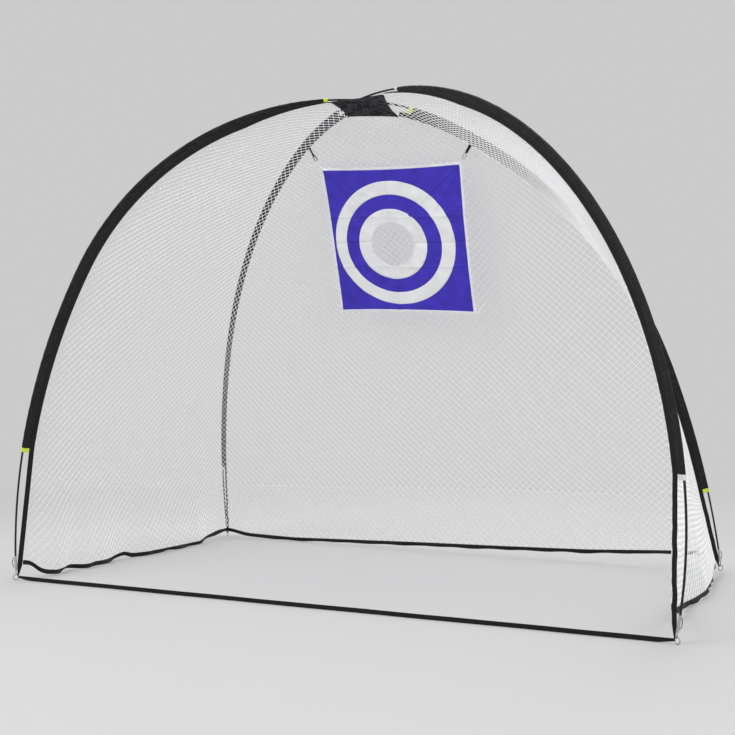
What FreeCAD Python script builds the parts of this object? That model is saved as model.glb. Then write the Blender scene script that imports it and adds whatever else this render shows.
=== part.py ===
import FreeCAD, Part
import math
import os
from FreeCAD import Vector

os.makedirs("parts", exist_ok=True)

# Golf chipping net: two crossed fibreglass poles in cloth sleeves, three net panels,
# an open front and a hanging target. Millimetres, +Z up, +X to the right, open front at -Y.
# The origin is on the ground, at the middle of the strap between the front feet.

# Footprint and height
frame_width = 3050.0
frame_depth = 1975.0
crown_height = 2360.0
crown_forward = 295.0
crown_left = 60.0
strap_setback = 5.75

# Bend of the poles: a crown arc, a shoulder arc and a leg arc, each tangent to the next
crown_turn = 23.5
shoulder_turn = 66.0
front_left_shoulder = 1450.0
front_right_shoulder = 1690.0
rear_right_shoulder = 2290.0
rear_left_shoulder = 2035.0
front_left_foot_turn = 93.0
front_right_foot_turn = 107.5
rear_right_foot_turn = 79.0
rear_left_foot_turn = 92.0

# Fibreglass pole
pole_od = 9.5
pole_bore = 4.6
crown_section_length = 960.0
leg_sections = 3
butt_gap = 0.4
crossing_gap = 0.5
shock_cord_d = 3.0
joint_ferrule_od = 11.2
joint_ferrule_length = 80.0
tube_fit = 0.05

# Foot: ferrule, pin and ring
end_ferrule_od = 11.2
end_ferrule_length = 70.0
end_ferrule_socket = 34.0
pin_wire = 4.0
pin_fit = 0.3
pin_neck = 12.0
pin_depth = 33.0
ring_od = 30.0
ring_wire = 4.0
eye_fit = 0.5

# Cloth sleeve around each leg of the poles, and the webbing along its inner edge
sleeve_cloth = 1.2
sleeve_fit = 0.3
sleeve_web = 28.0
sleeve_edge_thickness = 2.4
sleeve_top_front_left = 172.0
sleeve_top_front_right = 280.0
sleeve_top_rear_right = 240.0
sleeve_top_rear_left = 190.0
sleeve_bottom_front = 630.0
sleeve_bottom_rear = 450.0
tag_length = 20.0
tag_margin = 3.0
edge_tape_width = 23.0
tape_thickness = 2.0
tape_ring_width = 8.0
tape_ring_angle = 42.0
webbing_fold = 1.3
loop_fit = 0.3
loop_half_angle = 19.0

# Crown patch: how far each corner reaches from the crown. The front sleeves and tapes
# narrow towards their corner, over the crown arc of the pole
patch_reach_front_left = 165.0
patch_reach_front_right = 185.0
patch_reach_rear_right = 195.0
patch_reach_rear_left = 140.0
narrow_web = 8.5
narrow_tape = 4.0
narrow_play = 0.2
patch_thickness = 2.0
patch_gap = 0.3

# Net panels: a plain grid of openings stands for the fine mesh. The rows are counted
# in the crown, shoulder and leg arcs and in the straight run below them
net_thickness = 2.0
net_bar = 8.0
net_rows = (2, 4, 3, 2)
net_columns = 12
least_opening = 70.0
cutter_reach = 40.0

# Hems of the net panels: height of the hem's lower edge at each leg
seam_gap = 0.6
hem_width = 22.0
hem_thickness = 3.0
hem_spans = 12
hem_height_front_left = 75.0
hem_height_rear_left = 35.0
hem_height_rear_right = 80.0
hem_height_front_right = 125.0

# Ground strap between the two front rings
strap_width = 20.0
strap_thickness = 1.6
strap_taper = 60.0
strap_ring_width = 11.0

# Target
target_side = 785.0
target_lean = 26.0
target_drop = 113.0
target_shift = 8.0
target_thickness = 1.6
binding_width = 12.0
binding_thickness = 2.6
ring_print_outer = 690.0
ring_print_inner = 550.0
ring_print_thickness = 0.6
disc_diameter = 398.0
hole_diameter = 246.0
anchor_left = 550.0
anchor_right = 603.0
anchor_gap = 7.8
hanger_length = 70.0
hanger_width = 15.0
hanger_webbing = 1.5
hanger_loop_radius = 5.0
hanger_slit = 24.0
cord_d = 2.5
cord_bend = 3.0
cord_gap = 0.3
knot_d = 9.0

# Elastic loop beside each end ferrule
elastic_d = 3.0
elastic_chord = 46.0
elastic_bulge = 12.0
elastic_margin = 8.0

frame_middle = frame_depth / 2 - strap_setback
pole_radius = pole_od / 2
wire_radius = ring_wire / 2
ring_mean = (ring_od - ring_wire) / 2
eye_mean = wire_radius + eye_fit + pin_wire / 2
tape_inner = sleeve_web + edge_tape_width
net_inset = tape_inner + seam_gap
sleeve_radius = max(joint_ferrule_od, pole_od) / 2 + sleeve_fit + sleeve_cloth
up = Vector(0, 0, 1)


def save(shape, name):
    """Write one node to its STEP file."""
    shape.exportStep("parts/" + name + ".step")


def circle_face(radius, centre, axis, bore=0.0):
    """Disc, or ring when it has a bore."""
    wires = [Part.Wire(Part.makeCircle(radius, centre, axis))]
    if bore > 0:
        wires.append(Part.Wire(Part.makeCircle(bore, centre, axis)))
        return Part.makeFace(wires, "Part::FaceMakerBullseye")
    return Part.Face(wires[0])


def fused(shapes):
    """One solid from touching shapes."""
    whole = shapes[0]
    if len(shapes) > 1:
        whole = whole.fuse(shapes[1:]).removeSplitter()
    return whole


def polygon(points):
    """Closed outline through the points."""
    return Part.makePolygon(list(points) + [points[0]])


class Leg:
    """One half of a pole, in the plane that holds both of the pole's feet and the crown.

    Flat coordinates are x, level and away from the crown, and y, down along the plane.
    Places along the leg are arc lengths from the crown. An inset is towards the inside.
    """

    def __init__(self, name, ground, far_ground, crown, shoulder_radius, foot_turn):
        self.name = name
        self.crown = crown
        self.out = (ground - far_ground).normalize()
        self.width = (ground - crown).dot(self.out)
        below = ground - (crown + self.out * self.width)
        self.height = below.Length
        self.down = below.normalize()
        self.side = self.out.cross(self.down)
        self.upright = -self.down.z
        ring_centre_up = ring_mean + wire_radius / abs(self.down.z)
        self.ring_centre_y = self.height - ring_centre_up
        foot_y = self.ring_centre_y - ring_mean - eye_mean
        turns = [0.0, crown_turn, shoulder_turn, foot_turn]
        self.turns = [math.radians(turn) for turn in turns]
        self.radii = self.closed_radii(self.width, foot_y, shoulder_radius)
        self.lengths = [
            radius * (end - start)
            for radius, start, end in zip(self.radii, self.turns, self.turns[1:])
        ]
        self.foot = sum(self.lengths)

    def closed_radii(self, reach, drop, shoulder_radius):
        """Crown and leg radii that bring the chain of arcs to the foot."""
        across = [math.sin(b) - math.sin(a) for a, b in zip(self.turns, self.turns[1:])]
        fall = [math.cos(a) - math.cos(b) for a, b in zip(self.turns, self.turns[1:])]
        rest_x = reach - shoulder_radius * across[1]
        rest_y = drop - shoulder_radius * fall[1]
        det = across[0] * fall[2] - across[2] * fall[0]
        crown_radius = (rest_x * fall[2] - across[2] * rest_y) / det
        leg_radius = (across[0] * rest_y - rest_x * fall[0]) / det
        return [crown_radius, shoulder_radius, leg_radius]

    def arc_centre(self, index):
        """Flat centre of one of the arcs."""
        x, y = 0.0, 0.0
        for radius, start, end in list(zip(self.radii, self.turns, self.turns[1:]))[:index]:
            x += radius * (math.sin(end) - math.sin(start))
            y += radius * (math.cos(start) - math.cos(end))
        start = self.turns[index]
        return x - self.radii[index] * math.sin(start), y + self.radii[index] * math.cos(start)

    def turn_at(self, place):
        """Arc number and turn angle at a place along the leg."""
        for index, length in enumerate(self.lengths):
            if place <= length or index == len(self.lengths) - 1:
                return index, self.turns[index] + place / self.radii[index]
            place -= length

    def flat(self, place, inset=0.0):
        """Flat coordinates of a place, moved in by the inset."""
        index, turn = self.turn_at(place)
        x, y = self.arc_centre(index)
        radius = self.radii[index] - inset
        return x + radius * math.sin(turn), y - radius * math.cos(turn)

    def spot(self, x, y, side=0.0):
        """Point in space from flat coordinates."""
        return self.crown + self.out * x + self.down * y + self.side * side

    def at(self, place, inset=0.0, side=0.0):
        """Point in space at a place along the leg."""
        x, y = self.flat(place, inset)
        return self.spot(x, y, side)

    def heading(self, place):
        """Direction towards the foot."""
        turn = self.turn_at(place)[1]
        return self.out * math.cos(turn) + self.down * math.sin(turn)

    def inward(self, place):
        """Direction of the inset."""
        turn = self.turn_at(place)[1]
        return self.out * -math.sin(turn) + self.down * math.cos(turn)

    def spans(self, start, end):
        """Stretches between two places, cut where one arc meets the next."""
        cuts = [start]
        total = 0.0
        for length in self.lengths[:-1]:
            total += length
            if start < total < end:
                cuts.append(total)
        cuts.append(end)
        return list(zip(cuts, cuts[1:]))

    def arcs(self, start, end, inset=0.0, side=0.0):
        """Edges that follow the leg between two places."""
        edges = []
        for a, b in self.spans(start, end):
            middle = (a + b) / 2
            index = self.turn_at(middle)[0]
            points = [self.on_arc(index, place, inset, side) for place in (a, middle, b)]
            edges.append(Part.Arc(*points).toShape())
        return edges

    def on_arc(self, index, place, inset, side=0.0):
        """Point on one given arc, also at its very ends."""
        turn = self.turns[index] + (place - sum(self.lengths[:index])) / self.radii[index]
        x, y = self.arc_centre(index)
        radius = self.radii[index] - inset
        return self.spot(x + radius * math.sin(turn), y - radius * math.cos(turn), side)

    def revolve(self, section, start, end):
        """Solid made by turning a section along the leg."""
        pieces = []
        for a, b in self.spans(start, end):
            index = self.turn_at((a + b) / 2)[0]
            x, y = self.arc_centre(index)
            angle = math.degrees((b - a) / self.radii[index])
            face = section(self.on_arc(index, a, 0.0), self.heading(a), self.inward(a))
            pieces.append(face.revolve(self.spot(x, y), self.side, angle))
        return fused(pieces)

    def tube(self, start, end, outer, bore=0.0):
        """Round bar or tube along the leg."""
        def section(point, heading, inward):
            return circle_face(outer, point, heading, bore)
        return self.revolve(section, start, end)

    def slab(self, outline, thickness):
        """Plate in the leg's plane from a flat outline of edges."""
        face = Part.Face(Part.Wire(outline))
        face.translate(self.side * (-thickness / 2))
        return face.extrude(self.side * thickness)


def pole_point(x_sign, y_sign):
    """Ground point of one foot."""
    return Vector(x_sign * frame_width / 2, frame_middle + y_sign * frame_depth / 2, 0)


corners = {
    "front_left": pole_point(-1, -1),
    "front_right": pole_point(1, -1),
    "rear_right": pole_point(1, 1),
    "rear_left": pole_point(-1, 1),
}
lower_crown = Vector(-crown_left, frame_middle - crown_forward, crown_height)
upper_crown = lower_crown + up * (pole_od + crossing_gap)


def leg(name, far_name, crown, shoulder_radius, foot_turn):
    """Leg from its named corner."""
    return Leg(name, corners[name], corners[far_name], crown, shoulder_radius, foot_turn)


front_left = leg("front_left", "rear_right", lower_crown, front_left_shoulder, front_left_foot_turn)
rear_right = leg("rear_right", "front_left", lower_crown, rear_right_shoulder, rear_right_foot_turn)
front_right = leg("front_right", "rear_left", upper_crown, front_right_shoulder, front_right_foot_turn)
rear_left = leg("rear_left", "front_right", upper_crown, rear_left_shoulder, rear_left_foot_turn)
legs = [front_left, front_right, rear_right, rear_left]
sleeve_top = {
    "front_left": sleeve_top_front_left,
    "front_right": sleeve_top_front_right,
    "rear_right": sleeve_top_rear_right,
    "rear_left": sleeve_top_rear_left,
}
patch_reach = {
    "front_left": patch_reach_front_left,
    "front_right": patch_reach_front_right,
    "rear_right": patch_reach_rear_right,
    "rear_left": patch_reach_rear_left,
}
narrowed = {
    "front_left": (narrow_web, narrow_web + narrow_tape),
    "front_right": (narrow_web, narrow_web + narrow_tape),
    "rear_right": (sleeve_web, tape_inner),
    "rear_left": (sleeve_web, tape_inner),
}
sleeve_bottom = {
    "front_left": front_left.foot - sleeve_bottom_front,
    "front_right": front_right.foot - sleeve_bottom_front,
    "rear_left": rear_left.foot - sleeve_bottom_rear,
    "rear_right": rear_right.foot - sleeve_bottom_rear,
}
hem_height = {
    "front_left": hem_height_front_left,
    "front_right": hem_height_front_right,
    "rear_left": hem_height_rear_left,
    "rear_right": hem_height_rear_right,
}


def ferrule_rim(one):
    """Place of the end ferrule's lower rim."""
    return one.foot - pin_wire / 2 - pin_neck


def pole_end(one):
    """Place where the fibreglass ends, inside the end ferrule."""
    return ferrule_rim(one) - end_ferrule_length + end_ferrule_socket


def section_joints(one):
    """Places of the joints between the fibreglass sections of one leg."""
    first = crown_section_length / 2
    step = (pole_end(one) - first) / leg_sections
    return [first + step * number for number in range(leg_sections)]


def both_halves(one, other, reach, outer, bore=0.0):
    """Round bar or tube over the crown, reaching along both legs of a pole."""
    halves = [one.tube(0, reach[0], outer, bore), other.tube(0, reach[1], outer, bore)]
    return fused(halves)


def pole_sections(one):
    """The fibreglass sections of one leg, below the crown section."""
    starts = section_joints(one)
    ends = starts[1:] + [pole_end(one)]
    tubes = []
    for number, (start, end) in enumerate(zip(starts, ends)):
        stop = end if number == leg_sections - 1 else end - butt_gap
        tubes.append(one.tube(start, stop, pole_radius, pole_bore / 2))
    return tubes


def joint_ferrules(one):
    """Steel sleeves over the joints of one leg."""
    half = joint_ferrule_length / 2
    bore = pole_radius + tube_fit
    return [
        one.tube(place - half, place + half, joint_ferrule_od / 2, bore)
        for place in section_joints(one)
    ]


def end_ferrule(one):
    """Steel end tube: a socket for the pole above, a narrow bore for the pin below."""
    rim = ferrule_rim(one)
    outer = end_ferrule_od / 2
    socket = one.tube(rim - end_ferrule_length, pole_end(one), outer, pole_radius + tube_fit)
    neck = one.tube(pole_end(one), rim, outer, pin_wire / 2 + pin_fit)
    return fused([socket, neck])


def ring_centre(one):
    """Middle of the foot ring."""
    return one.spot(one.width, one.ring_centre_y)


def foot_ring(one):
    """Round steel ring in the leg's plane, standing on the ground."""
    return Part.makeTorus(ring_mean, wire_radius, ring_centre(one), one.side)


def foot_pin(one):
    """Wire pin: a shank in the ferrule, a bare neck, and an eye around the ring's top."""
    eye_centre = ring_centre(one) - one.down * ring_mean
    eye = Part.makeTorus(eye_mean, pin_wire / 2, eye_centre, one.out)
    shank = one.tube(ferrule_rim(one) - pin_depth, one.foot, pin_wire / 2)
    return fused([eye, shank])


def seam_arc(one, start, narrow, inset):
    """Arc over the pole's crown arc, drawn in from an inset to a narrower one at its start."""
    end = one.lengths[0]
    places = (start, (start + end) / 2, end)
    insets = (narrow, (narrow + inset) / 2, inset)
    return Part.Arc(*[one.at(place, value) for place, value in zip(places, insets)]).toShape()


def seam_arcs(one, start, narrow, inset):
    """Edges along a seam of the web, from its start near the crown to the sleeve's end."""
    below = one.arcs(one.lengths[0], sleeve_bottom[one.name], inset)
    return [seam_arc(one, start, narrow, inset)] + below


def ring_sleeve(one, angle, half_angle):
    """Webbing folded over the ring's wire, centred at an angle inwards from the ring's top."""
    centre = ring_centre(one)
    start = math.radians(angle - half_angle)
    arm = one.out * -math.sin(start) - one.down * math.cos(start)
    tangent = arm.cross(one.side)
    bore = wire_radius + loop_fit
    face = circle_face(bore + webbing_fold, centre + arm * ring_mean, tangent, bore)
    return face.revolve(centre, -one.side, 2 * half_angle)


def ring_room(one):
    """Space that webbing leaves around the ring's wire."""
    return Part.makeTorus(ring_mean, wire_radius + loop_fit, ring_centre(one), one.side)


def tape_line(one):
    """Flat end points of the tape's straight lower run: outer and inner edge."""
    x, y = one.flat(sleeve_bottom[one.name], sleeve_web + edge_tape_width / 2)
    angle = math.radians(tape_ring_angle)
    reach = ring_mean + wire_radius + loop_fit + webbing_fold / 2
    end_x = one.width - reach * math.sin(angle)
    end_y = one.ring_centre_y - reach * math.cos(angle)
    run = math.hypot(end_x - x, end_y - y)
    step_x, step_y = (end_x - x) / run, (end_y - y) / run
    half = tape_ring_width / 2
    outer = (end_x + step_y * half, end_y - step_x * half)
    inner = (end_x - step_y * half, end_y + step_x * half)
    return outer, inner


def edge_tape(one):
    """Webbing along the sleeve's inner edge, then straight down to the ring."""
    top, bottom = patch_reach[one.name], sleeve_bottom[one.name]
    outer_end, inner_end = tape_line(one)
    top_outer, top_inner = narrowed[one.name]
    outer_arcs = seam_arcs(one, top, top_outer, sleeve_web)
    inner_arcs = seam_arcs(one, top, top_inner, tape_inner)
    outer_point, inner_point = one.spot(*outer_end), one.spot(*inner_end)
    outline = list(outer_arcs)
    outline.append(Part.makeLine(one.at(bottom, sleeve_web), outer_point))
    outline.append(Part.makeLine(outer_point, inner_point))
    outline.append(Part.makeLine(inner_point, one.at(bottom, tape_inner)))
    outline += reversed(inner_arcs)
    outline.append(Part.makeLine(one.at(top, top_inner), one.at(top, top_outer)))
    band = one.slab(outline, tape_thickness)
    fold = ring_sleeve(one, tape_ring_angle, loop_half_angle)
    return fused([band, fold]).cut(ring_room(one))


def sleeve_section(web):
    """Section of a sleeve: round over the pole, tapering to its sewn edge."""
    bore = max(joint_ferrule_od, pole_od) / 2 + sleeve_fit
    half = sleeve_edge_thickness / 2

    def section(point, heading, inward):
        side = heading.cross(inward)
        touch = math.atan2(half, web) + math.acos(sleeve_radius / math.hypot(web, half))

        def spot(x, y):
            return point + inward * x + side * y

        x, y = sleeve_radius * math.cos(touch), sleeve_radius * math.sin(touch)
        outline = Part.Wire([
            Part.makeLine(spot(x, y), spot(web, half)),
            Part.makeLine(spot(web, half), spot(web, -half)),
            Part.makeLine(spot(web, -half), spot(x, -y)),
            Part.Arc(spot(x, -y), spot(-sleeve_radius, 0), spot(x, y)).toShape(),
        ])
        hole = Part.Wire(Part.makeCircle(bore, point, heading))
        return Part.makeFace([outline, hole], "Part::FaceMakerBullseye")

    return section


def web_trim(one):
    """Space that the narrowed tape takes from the sleeve's web."""
    top, end = patch_reach[one.name], one.lengths[0]
    narrow, full = narrow_web - narrow_play, sleeve_web - narrow_play
    corners = [one.at(end, full), one.at(end, 2 * tape_inner)]
    corners += [one.at(top, 2 * tape_inner), one.at(top, narrow)]
    edge = seam_arc(one, top, narrow, full)
    sides = [Part.makeLine(a, b) for a, b in zip(corners, corners[1:])]
    return one.slab([edge] + sides, 4 * sleeve_radius)


def trimmed(one, shape):
    """Sleeve or tag with its web narrowed towards the crown patch."""
    if narrowed[one.name][0] < sleeve_web:
        return shape.cut(web_trim(one)).Solids[0]
    return shape


def sleeve(one):
    """Cloth sleeve from near the crown to well above the foot."""
    section = sleeve_section(sleeve_web)
    top, bottom = sleeve_top[one.name] + tag_length, sleeve_bottom[one.name]
    return trimmed(one, one.revolve(section, top, bottom))


def tags(one):
    """Coloured bindings at the two mouths of a sleeve."""
    section = sleeve_section(sleeve_web - tag_margin)
    top, bottom = sleeve_top[one.name], sleeve_bottom[one.name]
    return [
        trimmed(one, one.revolve(section, top, top + tag_length)),
        one.revolve(section, bottom, bottom + tag_length),
    ]


def crown_patch():
    """Cloth patch under the crossing, drawn out to the four tapes."""
    middle = lower_crown - up * (pole_radius + patch_gap)
    tops, lows = [], []
    for one in legs:
        inset = narrowed[one.name][1]
        tops.append(one.at(patch_reach[one.name], inset))
        lows.append(one.at(patch_reach[one.name], inset + patch_thickness))
    low_middle = middle - up * patch_thickness
    faces = []
    for number in range(len(legs)):
        after = (number + 1) % len(legs)
        faces.append(Part.Face(polygon([middle, tops[number], tops[after]])))
        faces.append(Part.Face(polygon([low_middle, lows[after], lows[number]])))
        faces.append(Part.Face(polygon([tops[number], lows[number], lows[after]])))
        faces.append(Part.Face(polygon([tops[number], lows[after], tops[after]])))
    return closed_solid(faces)


def closed_solid(faces):
    """Solid inside a set of faces that share their edges."""
    shell = Part.makeShell(faces)
    shell.sewShape()
    solid = Part.makeSolid(shell)
    if solid.Volume < 0:
        solid.reverse()
    return solid


def tape_point(one, height, inset=0.0):
    """Flat point on the inner edge of the tape's straight run, at a height above the ground."""
    start = one.flat(sleeve_bottom[one.name], tape_inner)
    end = tape_line(one)[1]
    run_x, run_y = end[0] - start[0], end[1] - start[1]
    length = math.hypot(run_x, run_y)
    level = one.height - height / one.upright
    share = (level - start[1]) / run_y
    x = start[0] + run_x * share - inset * run_y / length
    y = start[1] + run_y * share + inset * run_x / length
    return one.spot(x, y)


def net_line(one, hem_top, depth):
    """Edges along a net's side at a depth in its thickness: three arcs and a straight run."""
    start, bottom = patch_reach[one.name] + seam_gap, sleeve_bottom[one.name]
    edges = seam_arcs(one, start, narrowed[one.name][1] + seam_gap + depth, net_inset + depth)
    low = tape_point(one, hem_top, seam_gap + depth)
    return edges + [Part.makeLine(one.at(bottom, net_inset + depth), low)]


def net_edges(one, hem_top):
    """Outline of a net panel's edge in the leg's plane, as matching edges in order."""
    outer, inner = net_line(one, hem_top, 0.0), net_line(one, hem_top, net_thickness)
    top = Part.makeLine(outer[0].firstVertex().Point, inner[0].firstVertex().Point)
    low = Part.makeLine(outer[-1].lastVertex().Point, inner[-1].lastVertex().Point)
    return outer + [top, low] + inner


def spanned(edges, far_edges):
    """Thin solid ruled between two outlines whose edges match one by one."""
    faces = [Part.makeRuledSurface(a, b) for a, b in zip(edges, far_edges)]
    faces.append(Part.Face(Part.Wire(Part.__sortEdges__(edges))))
    faces.append(Part.Face(Part.Wire(Part.__sortEdges__(far_edges))))
    return closed_solid(faces)


def edge_point(edge, share):
    """Point at a share of an edge's length."""
    first, last = edge.ParameterRange
    return edge.valueAt(first + (last - first) * share)


def columns_across(width):
    """Number of openings across, halved where the net narrows towards the crown."""
    columns = net_columns
    while columns % 2 == 0 and width / columns < least_opening:
        columns //= 2
    return columns


def opening_prism(upper, lower, left, right):
    """Prism through one opening, between two levels of the net and two shares of its width."""
    corners = []
    for level, ends in ((upper, (left, right)), (lower, (right, left))):
        across = level[1] - level[0]
        inside = across * (net_bar / 2 / across.Length)
        for end in ends:
            side = 1 if end == left else -1
            corners.append(level[0] + across * end + inside * side)
    normal = (corners[2] - corners[0]).cross(corners[3] - corners[1]).normalize()
    middle = (corners[0] + corners[1] + corners[2] + corners[3]) * 0.25
    flat = []
    for corner in corners:
        flat.append(corner - normal * ((corner - middle).dot(normal) + cutter_reach))
    return Part.Face(polygon(flat)).extrude(normal * (2 * cutter_reach))


def net_openings(sides):
    """Prisms through the openings between the middle lines of a net's two sides."""
    prisms = []
    for rows, pair in zip(net_rows, zip(*sides)):

        def level(share):
            return [edge_point(edge, share) for edge in pair]

        top, low = level(0.0), level(1.0)
        margin = net_bar / (low[0] + low[1] - top[0] - top[1]).Length
        for row in range(rows):
            upper = level(row / rows + margin)
            lower = level((row + 1) / rows - margin)
            columns = columns_across((upper[1] - upper[0]).Length)
            for column in range(columns):
                ends = column / columns, (column + 1) / columns
                prisms.append(opening_prism(upper, lower, *ends))
    return prisms


def level_cuts(sides):
    """Faces across a net along the middle lines of its level bars, below the first."""
    cuts = []
    for rows, pair in zip(net_rows, zip(*sides)):
        for row in range(rows):
            left, right = [edge_point(edge, row / rows) for edge in pair]
            low_left, low_right = [edge_point(edge, (row + 1) / rows) for edge in pair]
            normal = (low_right - left).cross(low_left - right).normalize() * cutter_reach
            beyond = (right - left).normalize() * cutter_reach
            start, end = left - beyond, right + beyond
            cuts.append(Part.Face(polygon([start - normal, end - normal, end + normal, start + normal])))
    return cuts[1:]


def net_panel(one, other):
    """Net stretched between two legs, down to its hem, in bands that meet at its level bars."""
    tops = [(leg, hem_height[leg.name] + hem_width + seam_gap) for leg in (one, other)]
    sheet = spanned(*[net_edges(*side) for side in tops])
    sides = [net_line(*side, net_thickness / 2) for side in tops]
    net = sheet.cut(net_openings(sides)).Solids[0]
    return Part.makeCompound(net.generalFuse(level_cuts(sides))[1][0])


def hem_corners(one):
    """Corners of the hem's end in the leg's plane."""
    low = hem_height[one.name]
    near, far = seam_gap, seam_gap + hem_thickness
    return [
        tape_point(one, low + hem_width, near),
        tape_point(one, low, near),
        tape_point(one, low, far),
        tape_point(one, low + hem_width, far),
    ]


def hem_tape(one, other):
    """Hem between two legs, turning evenly from the one leg's plane to the other's."""
    start, end = hem_corners(one), hem_corners(other)
    rows = []
    for number in range(hem_spans + 1):
        share = number / hem_spans
        rows.append([a + (b - a) * share for a, b in zip(start, end)])
    faces = [Part.Face(polygon(rows[0])), Part.Face(polygon(rows[-1]))]
    for row, after in zip(rows, rows[1:]):
        for number in range(len(row)):
            beside = (number + 1) % len(row)
            faces.append(Part.Face(polygon([row[number], row[beside], after[beside]])))
            faces.append(Part.Face(polygon([row[number], after[beside], after[number]])))
    return closed_solid(faces)


def ground_strap():
    """Webbing on edge between the front rings, resting on the ground."""
    ends = []
    for one in (front_left, front_right):
        ends.append(ring_centre(one) - one.out * ring_mean)
    start, end = ends
    along = Vector(end.x - start.x, end.y - start.y, 0).normalize()
    across = Vector(-along.y, along.x, 0) * (strap_thickness / 2)
    left, right = start + along * strap_taper, end - along * strap_taper
    half = strap_ring_width / 2

    def level(point, height):
        return Vector(point.x, point.y, height)

    outline = [
        level(start, start.z - half),
        level(left, 0),
        level(right, 0),
        level(end, end.z - half),
        level(end, end.z + half),
        level(right, strap_width),
        level(left, strap_width),
        level(start, start.z + half),
    ]
    face = Part.Face(polygon([point - across for point in outline]))
    band = face.extrude(across * 2)
    folds = [ring_sleeve(one, 90.0, loop_half_angle) for one in (front_left, front_right)]
    strap = fused([band] + folds)
    for one in (front_left, front_right):
        strap = strap.cut(ring_room(one))
    return strap


def pipe(points, radius, bend=0.0):
    """Round bar along straight runs, with tangent arcs at the inner points."""
    edges = []
    start = points[0]
    for before, corner, after in zip(points, points[1:], points[2:]):
        back = (before - corner).normalize()
        ahead = (after - corner).normalize()
        half_turn = (math.pi - back.getAngle(ahead)) / 2
        reach = bend * math.tan(half_turn)
        first, last = corner + back * reach, corner + ahead * reach
        middle = corner + (back + ahead).normalize() * (bend / math.cos(half_turn) - bend)
        edges.append(Part.makeLine(start, first))
        edges.append(Part.Arc(first, middle, last).toShape())
        start = last
    edges.append(Part.makeLine(start, points[-1]))
    section = Part.Wire(Part.makeCircle(radius, points[0], points[1] - points[0]))
    return Part.Wire(edges).makePipeShell([section], True, False)


# Target frame: the line through the two anchors is its hinge
anchor_inset = net_inset + net_thickness + anchor_gap + hanger_webbing
left_anchor = rear_left.at(anchor_left, anchor_inset)
right_anchor = rear_right.at(anchor_right, anchor_inset)
along = (right_anchor - left_anchor).normalize()
plumb = (-up - along * (-up).dot(along)).normalize()
behind = along.cross(plumb)
lean = math.radians(target_lean)
fall = plumb * math.cos(lean) + behind * math.sin(lean)
front = along.cross(fall)
if front.y > 0:
    front = -front
hinge_middle = (left_anchor + right_anchor) * 0.5
top_middle = hinge_middle + fall * target_drop + along * target_shift
half_side = target_side / 2


def on_target(x, y, out=0.0):
    """Point on the target: x along its top edge from the middle, y down, out to the front."""
    return top_middle + along * x + fall * y + front * out


def target_square(half, thickness, hole=0.0):
    """Square plate centred on the target's middle, with a round hole when one is given."""
    outline = polygon([
        on_target(-half, half_side - half, -thickness / 2),
        on_target(half, half_side - half, -thickness / 2),
        on_target(half, half_side + half, -thickness / 2),
        on_target(-half, half_side + half, -thickness / 2),
    ])
    plate = Part.Face(outline).extrude(front * thickness)
    if hole > 0:
        plate = plate.cut(target_disc(hole, 0.0, thickness * 2))
    return plate


def target_disc(diameter, hole, thickness, out=0.0):
    """Round plate or ring on the target's middle."""
    centre = on_target(0, half_side, out - thickness / 2)
    face = circle_face(diameter / 2, centre, front, hole / 2)
    return face.extrude(front * thickness)


def target_cloth():
    """Coloured cloth with a round opening for the disc."""
    return target_square(half_side - binding_width, target_thickness, disc_diameter)


def target_binding():
    """White binding around the cloth's edge."""
    inner = target_square(half_side - binding_width, binding_thickness * 2)
    return target_square(half_side, binding_thickness).cut(inner)


def target_ring():
    """White ring on the cloth's front."""
    out = (target_thickness + ring_print_thickness) / 2
    return target_disc(ring_print_outer, ring_print_inner, ring_print_thickness, out)


def hanger_axes(anchor, corner):
    """Directions of a hanger: down to the target's corner, and across in the target's plane."""
    downward = (corner - anchor).normalize()
    across = (along - downward * along.dot(downward)).normalize()
    return downward, across


def teardrop(anchor, downward, across, half_top, start, end_radius, centre_reach):
    """Outline of a drop: a narrow top and a round foot."""
    rise = centre_reach - start
    touch = math.atan2(half_top, rise) + math.acos(end_radius / math.hypot(rise, half_top))
    x, y = end_radius * math.sin(touch), centre_reach - end_radius * math.cos(touch)

    def spot(a, b):
        return anchor + across * a + downward * b + front * (-hanger_width / 2)

    edges = [
        Part.makeLine(spot(half_top, start), spot(x, y)),
        Part.Arc(spot(x, y), spot(0, centre_reach + end_radius), spot(-x, y)).toShape(),
        Part.makeLine(spot(-x, y), spot(-half_top, start)),
        Part.makeLine(spot(-half_top, start), spot(half_top, start)),
    ]
    return Part.Face(Part.Wire(edges)).extrude(front * hanger_width)


def hanger_loop(anchor, corner):
    """Webbing loop sewn to the tape, open at its foot for the cord."""
    downward, across = hanger_axes(anchor, corner)
    centre_reach = hanger_length - hanger_loop_radius
    body = teardrop(anchor, downward, across, hanger_webbing, 0.0,
                    hanger_loop_radius, centre_reach)
    slit = teardrop(anchor, downward, across, cord_gap, hanger_slit,
                    hanger_loop_radius - hanger_webbing, centre_reach)
    return body.cut(slit)


def hanger_cord(anchor, corner):
    """Cord from the target's corner through the loop and back, with its knot."""
    downward, across = hanger_axes(anchor, corner)
    knot = corner - downward * (knot_d / 2)
    reach = hanger_length - hanger_webbing - cord_gap - cord_d / 2
    spread = hanger_width / 2 + cord_gap + cord_d
    top = anchor + downward * reach
    aside = front * cord_d
    points = [knot + aside, top + front * spread, top - front * spread, knot - aside]
    cord = pipe(points, cord_d / 2, cord_bend)
    return fused([cord, Part.makeSphere(knot_d / 2, knot)])


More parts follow.
